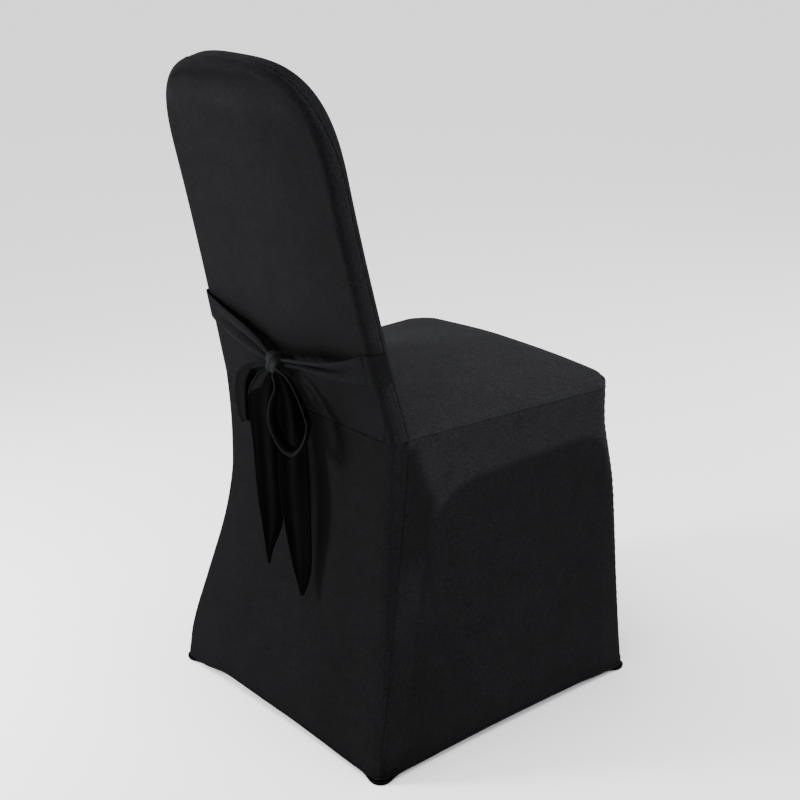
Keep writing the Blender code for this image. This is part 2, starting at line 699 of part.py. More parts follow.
def build_tails(material):
    for name, table in (("bow_tail_left", LEFT_TAIL), ("bow_tail_right", RIGHT_TAIL)):
        grid = []
        for tail in smooth_rows(table, STEPS_TIE):
            left = Vector((tail.left_x, tail.left_y, tail.z))
            right = Vector((tail.right_x, tail.right_y, tail.z))
            across = right - left
            normal = Vector((-across.y, across.x, 0.0)).normalized()
            row = []
            for k in range(ACROSS_TIE + 1):
                v = k / ACROSS_TIE
                row.append(left + across * v + normal * (tail.fold * math.sin(2 * math.pi * v)))
            grid.append(row)
        grid.insert(0, [against_knot(point) for point in grid[0]])
        add_cloth(name, [grid], material, TIE_CLOTH, 0)


def build_loops(material):
    loops = {
        "bow_loop_right": (RIGHT_LOOP, RIGHT_LOOP_DIRECTION),
        "bow_loop_left": (LEFT_LOOP, LEFT_LOOP_DIRECTION),
    }
    for name, (table, direction) in loops.items():
        grid = []
        for loop in smooth_rows(table, STEPS_TIE):
            edge = Vector((loop.x, loop.y, loop.z))
            grid.append([edge + direction * (loop.width * k / 2) for k in range(3)])
        grid.insert(0, [against_knot(point) for point in grid[0]])
        grid.append([against_knot(point) for point in grid[-1]])
        add_cloth(name, [grid], material, TIE_CLOTH, 0)


def build():
    stretched = cloth_material("stretched_cloth", (0.020, 0.020, 0.022), 0.62)
    slack = cloth_material("tie_cloth", (0.012, 0.012, 0.013), 0.70)
    build_skirt(stretched)
    build_outside_back(stretched)
    build_inside_back(stretched)
    build_seat(stretched)
    build_pockets(slack)
    build_strap("tie_right", -1, RIGHT_STRAP, slack)
    build_strap("tie_left", 1, LEFT_STRAP, slack)
    build_knot(slack)
    build_tails(slack)
    build_loops(slack)


for old in list(bpy.data.objects):
    bpy.data.objects.remove(old)
COVER = bpy.data.collections.new("chair_cover")
bpy.context.scene.collection.children.link(COVER)
build()
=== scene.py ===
"""A black stretch cover for a banquet chair with its sash bow, dressed for its picture.

Metres, +Z up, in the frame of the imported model. The front of the seat faces -Y and the right hand of
someone who sits in it is at -X.
"""

import math
from collections import namedtuple

import bmesh
import bpy
import numpy as np
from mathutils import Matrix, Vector


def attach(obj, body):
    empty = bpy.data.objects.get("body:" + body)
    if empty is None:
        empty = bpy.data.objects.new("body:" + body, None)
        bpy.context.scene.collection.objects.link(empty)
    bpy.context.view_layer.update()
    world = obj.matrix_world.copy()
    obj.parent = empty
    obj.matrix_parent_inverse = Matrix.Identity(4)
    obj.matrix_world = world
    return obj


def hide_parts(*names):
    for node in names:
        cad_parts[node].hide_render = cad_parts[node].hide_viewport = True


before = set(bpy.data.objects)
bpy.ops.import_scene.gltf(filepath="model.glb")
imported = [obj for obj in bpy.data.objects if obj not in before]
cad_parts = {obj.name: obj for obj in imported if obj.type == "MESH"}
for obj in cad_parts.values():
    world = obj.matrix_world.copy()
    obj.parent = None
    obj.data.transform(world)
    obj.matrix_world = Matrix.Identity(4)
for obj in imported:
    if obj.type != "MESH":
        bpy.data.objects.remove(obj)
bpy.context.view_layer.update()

# Camera
AZIMUTH = math.radians(229.78)
ELEVATION = math.radians(19.73)
DISTANCE = 2.2926
TARGET = Vector((0.0286, -0.0357, 0.4138))
LENS = 71.06
SENSOR_WIDTH = 36.0
BACKWARD = Vector((
    math.sin(AZIMUTH) * math.cos(ELEVATION),
    -math.cos(AZIMUTH) * math.cos(ELEVATION),
    math.sin(ELEVATION),
))
RIGHTWARD = Vector((0, 0, 1)).cross(BACKWARD).normalized()

# Light: soft lamps that face the target, a broad sun, and a white surround
Lamp = namedtuple("Lamp", "name place size power")
LAMPS = [
    Lamp("key", Vector((0.85, 1.40, 0.88)), 0.35, 56.0),
    Lamp("left", Vector((1.15, 0.24, 1.05)), 0.5, 9.0),
    Lamp("side", TARGET + BACKWARD * 1.6 + RIGHTWARD * 1.9 + Vector((0, 0, 0.6)), 1.4, 40.0),
    Lamp("front", Vector((-0.60, -2.40, 1.30)), 1.4, 40.0),
]
SUN_FROM = BACKWARD * 0.15 - RIGHTWARD * 0.25 + Vector((0, 0, 1))
SUN_STRENGTH = 3.4
SUN_ANGLE = math.radians(50)
SURROUND_STRENGTH = 0.65
FLOOR_REACH = 30.0
FLOOR_COLOUR = (0.95, 0.95, 0.95, 1.0)

# Driving dimensions, as in the part's source
SEAT_HEIGHT = 0.456
REAR_Y = 0.1608
LEAN = math.radians(13.3)
BACK_LENGTH = 0.487
BACK_THICKNESS = 0.033
CLOTH = 0.0012
TIE_CLOTH = 0.0016
SEAM_RUN = 0.003
BASE_HALF_WIDTH = 0.1875
CROWN_HALF_WIDTH = 0.1705
CROWN_START = 0.335
CROWN_POWER = 3.0
REAR_ROUND = 0.009
FRONT_ROUND = 0.007
FRONT_ROUND_BASE = 0.003
SEAM_AT_BASE = 0.0285
SEAM_AT_SIDE = 0.0240
SEAM_AT_TOP = 0.0140
FRONT_BULGE = 0.010
SEAT_ROUND = 0.005
SEAT_ROUND_REAR = 0.003
SEAT_CROWN = 0.024
SEAT_CROWN_AT_BACK = 0.40
SEAT_SLACK = 0.006
CREASE_OVERLAP = 0.004
SEAM_ALLOWANCE = 0.004
Hem = namedtuple("Hem", "share rear side")
HEMS = [
    Hem(0.00, 0.0060, 0.0060),
    Hem(0.10, 0.0060, 0.0060),
    Hem(0.50, 0.0115, 0.0090),
    Hem(0.78, 0.0135, 0.0085),
    Hem(0.90, 0.0060, 0.0060),
    Hem(1.00, 0.0060, 0.0060),
]
HEM_DRAWN_IN = 0.002
END_DIP = 0.005
Level = namedtuple("Level", "z rear_y rear_x front_y front_x front_radius seam_forward")
LEVELS = [
    Level(0.000, 0.2217, 0.2330, -0.2693, 0.2240, 0.009, 0.0),
    Level(0.060, 0.2147, 0.2295, -0.2658, 0.2195, 0.010, 0.1),
    Level(0.150, 0.1937, 0.2125, -0.2603, 0.2150, 0.012, 0.3),
    Level(0.240, 0.1734, 0.1945, -0.2558, 0.2125, 0.016, 0.5),
    Level(0.310, 0.1627, 0.1850, -0.2508, 0.2105, 0.020, 0.7),
    Level(0.355, 0.1602, 0.1842, -0.2448, 0.2095, 0.026, 0.8),
    Level(0.400, 0.1597, 0.1848, -0.2393, 0.2085, 0.032, 0.9),
    Level(0.456, 0.1608, 0.1875, -0.2388, 0.2085, 0.034, 1.0),
]
REAR_CORNER_RADIUS = 0.009
PLEAT_DEPTH = 0.0045
POCKET_REACH = 0.040
POCKET_RADIUS = 0.015
POCKET_PROUD = 0.0015
POCKET_TOP = 0.0056

# Points inside the cover, which say where a panel's inner side is
INSIDE_SKIRT = (0.0, -0.03, 0.20)
INSIDE_SEAT = (0.0, -0.05, 0.35)
INSIDE_BACK = (0.0, 0.20, 0.72)

Strap = namedtuple("Strap", "x stand top bottom")
STRAP_CLEARANCE = 0.002
RIGHT_STRAP = [
    Strap(0.1720, 0.0020, 0.5845, 0.5435),
    Strap(0.1220, 0.0045, 0.5645, 0.5350),
    Strap(0.0800, 0.0065, 0.5505, 0.5310),
    Strap(0.0360, 0.0085, 0.5385, 0.5268),
    Strap(-0.0050, 0.0095, 0.5300, 0.5190),
]
LEFT_STRAP = [
    Strap(0.1720, 0.0020, 0.5895, 0.5500),
    Strap(0.1310, 0.0040, 0.5745, 0.5350),
    Strap(0.0880, 0.0060, 0.5615, 0.5235),
    Strap(0.0540, 0.0080, 0.5480, 0.5205),
    Strap(0.0330, 0.0095, 0.5340, 0.5180),
]
KNOT_CENTRE = np.array((0.0190, 0.1912, 0.5225))
KNOT_HALF = np.array((0.0125, 0.0110, 0.0145))
KNOT_POWER = 3.2
Tail = namedtuple("Tail", "z left_x left_y right_x right_y fold")
LEFT_TAIL = [
    Tail(0.5045, 0.0300, 0.1982, 0.0215, 0.1922, 0.001),
    Tail(0.4950, 0.0440, 0.2052, 0.0180, 0.1907, 0.003),
    Tail(0.4700, 0.0580, 0.2112, 0.0150, 0.1902, 0.005),
    Tail(0.4000, 0.0502, 0.2107, 0.0125, 0.1892, 0.005),
    Tail(0.3250, 0.0428, 0.2102, 0.0085, 0.1892, 0.004),
    Tail(0.2850, 0.0345, 0.2097, 0.0140, 0.1907, 0.003),
    Tail(0.2500, 0.0275, 0.2092, 0.0215, 0.2012, 0.001),
    Tail(0.2300, 0.0235, 0.2087, 0.0222, 0.2067, 0.000),
]
RIGHT_TAIL = [
    Tail(0.5045, 0.0165, 0.1912, 0.0085, 0.1862, 0.001),
    Tail(0.4850, 0.0150, 0.1932, -0.0100, 0.1822, 0.003),
    Tail(0.4500, 0.0120, 0.1962, -0.0270, 0.1782, 0.005),
    Tail(0.4000, 0.0090, 0.1982, -0.0332, 0.1787, 0.005),
    Tail(0.3400, 0.0050, 0.1992, -0.0390, 0.1802, 0.004),
    Tail(0.2820, -0.0090, 0.1997, -0.0425, 0.1817, 0.004),
    Tail(0.2400, -0.0220, 0.2002, -0.0445, 0.1852, 0.002),
    Tail(0.2150, -0.0340, 0.2007, -0.0440, 0.1922, 0.001),
    Tail(0.2020, -0.0395, 0.2007, -0.0425, 0.1982, 0.000),
]
Loop = namedtuple("Loop", "x y z width")
RIGHT_LOOP_DIRECTION = np.array((0.42, -0.907, 0.0))
RIGHT_LOOP = [
    Loop(0.0060, 0.2042, 0.5060, 0.0070),
    Loop(-0.0080, 0.2112, 0.4950, 0.0110),
    Loop(-0.0083, 0.2192, 0.4759, 0.0160),
    Loop(-0.0120, 0.2242, 0.4544, 0.0190),
    Loop(-0.0195, 0.2222, 0.4331, 0.0200),
    Loop(-0.0314, 0.2182, 0.4186, 0.0200),
    Loop(-0.0445, 0.2132, 0.4156, 0.0200),
    Loop(-0.0561, 0.2082, 0.4306, 0.0200),
    Loop(-0.0595, 0.2032, 0.4513, 0.0190),
    Loop(-0.0529, 0.2012, 0.4657, 0.0170),
    Loop(-0.0370, 0.2012, 0.4916, 0.0120),
    Loop(-0.0190, 0.2012, 0.5100, 0.0080),
    Loop(0.0040, 0.2012, 0.5170, 0.0060),
]
LEFT_LOOP_DIRECTION = np.array((-0.88, -0.47, 0.0))
LEFT_LOOP = [
    Loop(0.0345, 0.1982, 0.5200, 0.0020),
    Loop(0.0620, 0.2022, 0.5130, 0.0110),
    Loop(0.0865, 0.2052, 0.4967, 0.0280),
    Loop(0.0996, 0.2062, 0.4788, 0.0330),
    Loop(0.0962, 0.2062, 0.4548, 0.0270),
    Loop(0.0905, 0.2052, 0.4330, 0.0200),
    Loop(0.0855, 0.2012, 0.4245, 0.0130),
    Loop(0.0880, 0.1962, 0.4330, 0.0200),
    Loop(0.0930, 0.1947, 0.4548, 0.0260),
    Loop(0.0900, 0.1937, 0.4788, 0.0260),
    Loop(0.0720, 0.1927, 0.4967, 0.0180),
    Loop(0.0470, 0.1922, 0.5060, 0.0080),
    Loop(0.0345, 0.1912, 0.5110, 0.0030),
]

# Lower edge of the taut band on a side panel, where the cloth leaves the seat's frame
Arch = namedtuple("Arch", "y z")
ARCH = [
    Arch(-0.232, 0.300),
    Arch(-0.220, 0.362),
    Arch(-0.205, 0.384),
    Arch(-0.190, 0.391),
    Arch(-0.142, 0.393),
    Arch(-0.062, 0.386),
    Arch(-0.019, 0.382),
    Arch(0.022, 0.380),
    Arch(0.054, 0.369),
    Arch(0.077, 0.350),
    Arch(0.089, 0.333),
    Arch(0.107, 0.281),
    Arch(0.125, 0.228),
    Arch(0.151, 0.142),
    Arch(0.190, 0.020),
]
ARCH_BLEND = 0.016
FRONT_FRAME_Y = -0.237
FRONT_FRAME_BLEND = 0.022
FREE_DEPTH = 0.008

# Each sheet as it is cut, before it is stretched, drawn together or folded.
Cut = namedtuple("Cut", "width length area held")

# Seams and hems
ROLL_WIDTH = 0.0022
ROLL_DEPTH = 0.0014
PUCKER = 0.00035
PUCKER_REACH = 0.007
HEM_WIDTH = 0.011
HEM_PROUD = 0.0005
HEM_STEP = 0.0008
HEM_WAVE = 0.0003
SIDE_ROLL = 0.7
TOP_ROLL = 0.6
TOP_PUCKER = 0.8
UNEVEN_SKIRT = 0.0006
UNEVEN_SEAT = 0.0008

# Lines pressed or stitched into the cloth, each at a distance from its panel's edge. A negative depth
# stands out.
Line = namedtuple("Line", "at depth width")
HEM_EDGE = Line(0.0, 0.0010, 0.0012)
HEM_LIP = Line(0.0050, 0.0006, 0.0012)
HEM_STITCH = Line(HEM_WIDTH, 0.0006, 0.0008)
SEAT_CREASE = Line(0.0085, 0.0010, 0.0018)
CORNER_TUCK = Line(0.0, 0.0016, 0.0035)
TOPSTITCH = Line(0.0045, 0.0010, 0.0010)

# The rear face's dent under its crown, the ridge under that, and the hollow that the ties draw in
DENT = Line(0.0, 0.0032, 0.010)
RIDGE = Line(-0.034, -0.0030, 0.018)
DENT_HALF_WIDTH = 0.165
DENT_FADE = 0.05
HOLLOW_DEPTH = 0.0060
HOLLOW_ABOVE = 0.034
HOLLOW_BELOW = 0.016
CROWN_CREST = 0.470

# The ties' ridges and valleys, in shares of their width from the upper edge and of PLEAT_DEPTH
RIGHT_PLEATS = (Line(0.12, -1.0, 0.10), Line(0.45, 1.0, 0.19), Line(0.82, -0.5, 0.16))
LEFT_PLEATS = (Line(0.22, -0.9, 0.10), Line(0.56, 0.9, 0.16), Line(0.90, -1.1, 0.09))

# The bow: points of the leads into the knot, in shares of the way, and how its cloth folds and curls
STRAP_LEAD = (0.12, 0.23, 0.32)
TAIL_LEAD = (0.55, 0.70, 0.85)
LOOP_LEAD_IN = (0.5, 0.67, 0.84)
LOOP_LEAD_OUT = (0.16, 0.33, 0.5)
TAIL_FOLD = 0.7
TAIL_HEM = 0.0012
CORNER_LIFT = 0.0080
LOOP_CURL = 0.0032
NEAR_BAND_SQUEEZE = 0.35
RIGHT_TIE_DROP = 0.0055

# The knit: its colour when stretched and slack, and its dull finish
STRETCHED_COLOUR = (0.0057, 0.0058, 0.0063)
SLACK_COLOUR = (0.0058, 0.0060, 0.0064)
CLOTH_FINISH = {
    "Roughness": 0.85,
    "Specular IOR Level": 0.01,
    "Sheen Weight": 0.006,
    "Sheen Roughness": 0.45,
    "Sheen Tint": (0.80, 0.82, 0.88, 1.0),
}

# How light the cloth looks: drawn over pale padding, over a leg, hanging free, and in slack double cloth.
# The seat, the front panels, the back's rounded edges and the left tail's turned corner are made lighter
# with painted light and sheen, and the side tones are partly painted light, as the lamps light the sides
# less than the rear.
TONE_PADDED = 1.0
TONE_FRONT_PAINTED_LIGHT = 1.9
TONE_SEAT_PAINTED_LIGHT = 2.6
TONE_REAR = 0.82
TONE_SIDE = 2.1
TONE_EDGE_PAINTED_SHEEN = 2.2
TONE_LEG = 1.35
TONE_FREE = 1.18
TONE_TIE = 0.72
TONE_TAIL = 0.15
TONE_POCKET = 0.35
TONE_KNOT = 1.656
TONE_TURNED_PAINTED_LIGHT = 0.75

# Grid counts
ARC = 7
FINE = 6
COLUMNS_SIDE = 90
COLUMNS_HALF_END = 42
ROWS_SKIRT = 90
ROWS_BACK = 84
COLUMNS_BACK = 56
ACROSS_TIE = 20
STEPS_TIE = 9
PLAN_LEVELS = 120
KNOT_RINGS = 40
KNOT_SEGMENTS = 56


def mix(a, b, t):
    return a + (b - a) * t


def smooth(t):
    """0 to 1 with level ends."""
    t = np.clip(t, 0.0, 1.0)
    return t * t * (3 - 2 * t)


def bump(t):
    """1 at 0, falling to nearly 0 at 2 either way."""
    return np.exp(-np.square(t))


def curve_between(before, low, high, after, t, span_before=1.0, span=1.0, span_after=1.0):
    """Value at t between low and high, on a smooth curve through all four."""
    start = (high - before) / (span_before + span) * span
    end = (after - low) / (span + span_after) * span
    return (
        (2 * t**3 - 3 * t**2 + 1) * low
        + (t**3 - 2 * t**2 + t) * start
        + (3 * t**2 - 2 * t**3) * high
        + (t**3 - t**2) * end
    )


def smooth_rows(rows):
    """A tie's table with STEPS_TIE - 1 more rows between each two, on a smooth curve through them."""
    kind = type(rows[0])
    result = []
    for i in range(len(rows) - 1):
        four = [rows[max(i - 1, 0)], rows[i], rows[i + 1], rows[min(i + 2, len(rows) - 1)]]
        for k in range(STEPS_TIE):
            result.append(kind(*(curve_between(*values, k / STEPS_TIE) for values in zip(*four))))
    return result + [rows[-1]]


def at_height(z):
    """The skirt's Level at any height."""
    i = max(k for k in range(len(LEVELS) - 1) if LEVELS[k].z <= z + 1e-9)
    low, high = LEVELS[i], LEVELS[i + 1]
    before = LEVELS[i - 1] if i > 0 else low
    after = LEVELS[i + 2] if i + 2 < len(LEVELS) else high
    spans = (max(low.z - before.z, 1e-6), high.z - low.z, max(after.z - high.z, 1e-6))
    t = (z - low.z) / spans[1]
    columns = list(zip(before, low, high, after))[1:]
    return Level(z, *(curve_between(*values, t, *spans) for values in columns))


def arc_steps(start, end, length):
    """(length, heading) of the chords of an arc that turns from one heading to another."""
    turn = (end - start) / ARC
    chord = length / ARC * (math.sin(turn / 2) / (turn / 2) if abs(turn) > 1e-6 else 1.0)
    return [(chord, start + turn * (k + 0.5)) for k in range(ARC)]


def run_steps(length, heading):
    """Steps of a straight run that ends at a seam, fine at its end."""
    rest = max(length - SEAM_RUN, 0.0004)
    return [(rest / 3, heading)] * 3 + [(SEAM_RUN / FINE, heading)] * FINE


def corner_steps(seam_heading, radius, run_before):
    """Steps round a corner of 90 degrees with a seam in it, and the number of steps before the seam."""
    before = arc_steps(0.0, seam_heading, radius * seam_heading) + run_steps(run_before, seam_heading)
    rest = math.pi / 2 - seam_heading
    after = [(SEAM_RUN / FINE, seam_heading)] * FINE
    after += arc_steps(seam_heading, math.pi / 2, max(radius * rest, 0.004))
    return before + after, len(before)


def half_plan(level):
    """The skirt's plan on the +X half, from the middle of the rear to the middle of the front, as
    (x, y), with the places of its rear and front seams in that list."""
    forward = level.seam_forward
    rear_steps, rear_before = corner_steps(
        mix(math.pi / 4, math.pi / 2, forward),
        mix(REAR_CORNER_RADIUS, REAR_ROUND, forward),
        mix(SEAM_RUN, SEAM_AT_BASE - REAR_ROUND, forward),
    )
    front_steps, front_before = corner_steps(math.pi / 4, level.front_radius, SEAM_RUN)
    rear_reach = sum(length * math.cos(heading) for length, heading in rear_steps)
    front_reach = sum(length * math.sin(heading) for length, heading in front_steps)

    start = level.rear_x - rear_reach
    points = [(start * k / COLUMNS_HALF_END, level.rear_y) for k in range(COLUMNS_HALF_END + 1)]
    rear_seam = COLUMNS_HALF_END + rear_before
    for length, heading in rear_steps:
        x, y = points[-1]
        points.append((x + length * math.cos(heading), y - length * math.sin(heading)))
    side = points[-1]
    corner = (level.front_x, level.front_y + front_reach)
    for k in range(1, COLUMNS_SIDE + 1):
        t = k / COLUMNS_SIDE
        points.append((mix(side[0], corner[0], t), mix(side[1], corner[1], t)))
    front_seam = len(points) - 1 + front_before
    for length, heading in front_steps:
        x, y = points[-1]
        points.append((x - length * math.sin(heading), y - length * math.cos(heading)))
    edge = points[-1][0]
    for k in range(1, COLUMNS_HALF_END + 1):
        points.append((edge * (1 - k / COLUMNS_HALF_END), level.front_y))
    return points, rear_seam, front_seam


def hem_height(kind, share):
    """Height of the hem at a share of the way between two corners."""
    i = max(k for k in range(len(HEMS) - 1) if HEMS[k].share <= share + 1e-9)
    t = (share - HEMS[i].share) / (HEMS[i + 1].share - HEMS[i].share)
    low, high = (hem.rear if kind == "rear" else hem.side for hem in HEMS[i : i + 2])
    return mix(low, high, smooth(t))


def lengths_along(line):
    """Length along a line of points, from the first to each."""
    return np.concatenate([[0], np.cumsum(np.linalg.norm(np.diff(line, axis=0), axis=1))])


def distance_from(grid, edge):
    return np.linalg.norm(grid - edge, axis=2)


def roll(distance):
    """How far cloth turns in towards a seam at a distance from it."""
    t = np.clip(1 - distance / ROLL_WIDTH, 0.0, 1.0)
    return -ROLL_DEPTH * (1 - np.sqrt(1 - t * t))


def pucker(distance, along):
    """Small gathers that the thread draws beside a seam."""
    wave = np.sin(along * 520) + 0.7 * np.sin(along * 813 + 1.3) + 0.6 * np.sin(along * 241 + 0.4)
    return PUCKER * wave * bump(distance / PUCKER_REACH)


def groove(distance, line):
    """How far cloth stands out at a distance from the edge that a line is measured from."""
    return -line.depth * bump((distance - line.at) / line.width)


def unevenness(grid, seed):
    """Long soft waves over cloth, -1 to 1."""
    x, y, z = np.moveaxis(grid, -1, 0)
    return (
        np.sin(11 * x + 17 * z + seed)
        + np.sin(23 * y - 9 * z + 2 * seed)
        + np.sin(31 * z + 13 * x - 19 * y + 3 * seed)
    ) / 3


def normals(grid, inside):
    """Unit normals of a grid of points, on the side away from a point inside."""
    along, across = np.gradient(grid, axis=0), np.gradient(grid, axis=1)
    normal = np.cross(along, across)
    normal /= np.maximum(np.linalg.norm(normal, axis=2, keepdims=True), 1e-12)
    away = np.sum((grid - np.array(inside)) * normal)
    return normal if away > 0 else -normal


def with_allowance(grid, tone, normal):
    """A panel's points and tones with its seam allowance turned in along its two sides and its top."""
    turned = np.pad(grid - SEAM_ALLOWANCE * normal, ((0, 1), (1, 1), (0, 0)), "edge")
    turned[:-1, 1:-1] = grid
    return turned, np.pad(tone, ((0, 1), (1, 1)), "edge")


def cloth_material(name, colour, speckle):
    """Fine knit: rows and columns of stitches in relief, a soft mottle, and the mesh's tone, which holds
    the cloth's lightness with painted light and shade.
    """
    material = bpy.data.materials.new(name)
    material.use_nodes = True
    tree = material.node_tree
    shader = tree.nodes["Principled BSDF"]

    def node(kind, output, **values):
        """Output of a new node. Each value is a setting, or an input, linked if it is an output itself."""
        made = tree.nodes.new(kind)
        for key, value in values.items():
            socket = key.replace("_", " ")
            if socket not in made.inputs:
                setattr(made, key, value)
            elif isinstance(value, bpy.types.NodeSocket):
                tree.links.new(value, made.inputs[socket])
            else:
                made.inputs[socket].default_value = value
        return made.outputs[output]

    def ranged(source, low, high, **limits):
        return node("ShaderNodeMapRange", "Result", Value=source, To_Min=low, To_Max=high, **limits)

    def combined(operation, a, b):
        made = node("ShaderNodeMath", "Value", operation=operation)
        tree.links.new(a, made.node.inputs[0])
        tree.links.new(b, made.node.inputs[1])
        return made

    uv = node("ShaderNodeUVMap", "UV", uv_map="cloth")
    place = node("ShaderNodeTexCoord", "Object")
    tone = node("ShaderNodeAttribute", "Fac", attribute_name="tone")
    stitches = {"wave_type": "BANDS", "Distortion": 0.6, "Vector": uv}
    wales = node("ShaderNodeTexWave", "Fac", bands_direction="X", Scale=320.0, **stitches)
    courses = node("ShaderNodeTexWave", "Fac", bands_direction="Y", Scale=260.0, **stitches)
    grain = node("ShaderNodeTexNoise", "Fac", Scale=420.0, Detail=3.0, Vector=place)
    mottle = node("ShaderNodeTexNoise", "Fac", Scale=26.0, Detail=5.0, Roughness=0.62, Vector=place)
    knit = combined("MULTIPLY", wales, courses)

    level = ranged(mottle, 1.0 - speckle, 1.0 + speckle)
    fine = ranged(grain, 1.0 - 2.2 * speckle, 1.0 + 2.2 * speckle, From_Min=0.25, From_Max=0.75)
    for factor in (fine, ranged(knit, 0.86, 1.10), tone):
        level = combined("MULTIPLY", level, factor)
    tinted = node("ShaderNodeVectorMath", "Vector", operation="SCALE", Vector=colour, Scale=level)
    tree.links.new(tinted, shader.inputs["Base Color"])
    relief = combined("ADD", knit, grain)
    surface = node("ShaderNodeBump", "Normal", Strength=0.6, Distance=0.0003, Height=relief)
    tree.links.new(surface, shader.inputs["Normal"])
    for key, value in CLOTH_FINISH.items():
        shader.inputs[key].default_value = value
    return material


def place_object(name, data):
    thing = bpy.data.objects.new(name, data)
    bpy.context.scene.collection.objects.link(thing)
    return thing


Fabric = namedtuple("Fabric", "slot material thickness")


def add_piece(bm, node, fabric):
    """A visible piece in place of a node, from a filled bmesh."""
    name = f"{node}_cloth"
    mesh = bpy.data.meshes.new(name)
    bm.to_mesh(mesh)
    bm.free()
    mesh.materials.append(fabric.material)
    piece = place_object(name, mesh)
    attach(piece, "root")
    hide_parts(node)
    return piece


def add_cloth(node, grids, fabric, offset, inside=None):
    """A sheet of cloth from (points, tones) grids that share edges. With a point inside, the grids are
    the sheet's outer face."""
    bm = bmesh.new()
    tone_layer = bm.verts.layers.float.new("tone")
    uv_layer = bm.loops.layers.uv.new("cloth")
    for points, tones in grids:
        rows, columns = points.shape[:2]
        tones = np.broadcast_to(tones, (rows, columns))
        u, v = lengths_along(points[rows // 2]), lengths_along(points[:, columns // 2])
        verts = {}
        for place in np.ndindex(rows, columns):
            verts[place] = bm.verts.new(points[place])
            verts[place][tone_layer] = float(tones[place])
        for j, i in np.ndindex(rows - 1, columns - 1):
            places = ((j, i), (j, i + 1), (j + 1, i + 1), (j + 1, i))
            face = bm.faces.new([verts[place] for place in places])
            face.smooth = True
            for loop, (a, b) in zip(face.loops, places):
                loop[uv_layer].uv = (u[b], v[a])
    bmesh.ops.remove_doubles(bm, verts=bm.verts, dist=0.00001)
    bmesh.ops.recalc_face_normals(bm, faces=bm.faces)
    if inside is not None:
        centre = Vector(inside)
        outward = sum((f.calc_center_median() - centre).dot(f.normal) * f.calc_area() for f in bm.faces)
        if outward < 0:
            bmesh.ops.reverse_faces(bm, faces=bm.faces)
    piece = add_piece(bm, node, fabric)
    solid = piece.modifiers.new("thickness", "SOLIDIFY")
    solid.thickness = fabric.thickness
    solid.offset = offset
    return piece


PLAN_HEIGHTS = np.linspace(0.0, SEAT_HEIGHT, PLAN_LEVELS)
PLANS = [half_plan(at_height(z)) for z in PLAN_HEIGHTS]
PLAN = np.array([plan[0] for plan in PLANS])
REAR_SEAM, FRONT_SEAM = PLANS[0][1:]
MIDDLE = PLAN.shape[1] - 1
LEVEL_TABLE = np.array([at_height(z) for z in PLAN_HEIGHTS])


def plan_at(places, z):
    """(x, y) of the plan's places, one a column, at the heights of a grid."""
    step = np.clip(z / SEAT_HEIGHT * (PLAN_LEVELS - 1), 0, PLAN_LEVELS - 1.0001)
    low = step.astype(int)
    t = (step - low)[..., None]
    return PLAN[low, places] * (1 - t) + PLAN[low + 1, places] * t


def level_at(z, column):
    return np.interp(z, PLAN_HEIGHTS, LEVEL_TABLE[:, Level._fields.index(column)])


def below_arch(y, z):
    """How far a point of a side panel is below the taut band."""
    return np.interp(y, *zip(*ARCH)) - z


def free_cloth(y, z):
    """0 where a side panel lies on the seat's frame or a leg, 1 where it hangs free between them."""
    below = smooth(below_arch(y, z) / ARCH_BLEND + 0.35)
    return below * smooth((y - FRONT_FRAME_Y) / FRONT_FRAME_BLEND)


def skirt_points(kind, sides, places):
    """Points of one skirt panel, rows from the hem up, with how free the cloth hangs at each. Its columns
    are places of the plan, each on the +X (1) or the -X side (-1)."""
    floor = PLAN[0, places]
    if kind == "side":
        share = (LEVELS[0].rear_y - floor[:, 1]) / (LEVELS[0].rear_y - LEVELS[0].front_y)
    else:
        share = (sides * floor[:, 0] / LEVELS[0].rear_x + 1) / 2
    hem = np.array([hem_height(kind, min(max(s, 0.0), 1.0)) for s in share])
    rows = np.concatenate([
        np.linspace(0.0, 0.016, 17)[:-1],
        np.linspace(0.016, SEAT_HEIGHT - 0.012, ROWS_SKIRT)[:-1],
        SEAT_HEIGHT - 0.0035 - np.linspace(0.0085, 0.0, 6)[:-1],
        SEAT_HEIGHT - np.linspace(0.0035, 0.0, 8),
    ]) / SEAT_HEIGHT
    z = hem + (SEAT_HEIGHT - hem) * rows[:, None]
    x, y = np.moveaxis(plan_at(places, z), -1, 0)
    height = z / SEAT_HEIGHT
    near_floor = HEM_DRAWN_IN * (1 - height) ** 4
    if kind == "side":
        t = (level_at(z, "rear_y") - y) / (level_at(z, "rear_y") - level_at(z, "front_y"))
        free = free_cloth(y, z)
        middle = smooth((t - 0.02) / 0.35) * smooth((0.98 - t) / 0.25)
        dip = FREE_DEPTH * free * (0.30 + 0.70 * smooth(below_arch(y, z) / 0.10))
        inward = dip * smooth(z / 0.20) * (0.35 + 0.65 * middle)
        inward += near_floor * smooth(t / 0.3) * smooth((1 - t) / 0.3)
        grid = np.stack([sides * (x - inward), y, z], axis=2)
    else:
        half = level_at(z, "rear_x" if kind == "rear" else "front_x")
        t = (sides * x / half + 1) / 2
        legs = smooth(t / 0.3) * smooth((1 - t) / 0.3)
        inward = legs * (near_floor + END_DIP * smooth((1 - height) * 3) * height)
        free = smooth((0.400 - z) / 0.03) * smooth((t - 0.10) / 0.16) * smooth((0.90 - t) / 0.16)
        grid = np.stack([sides * x, y - inward if kind == "rear" else y + inward, z], axis=2)
    return grid, free


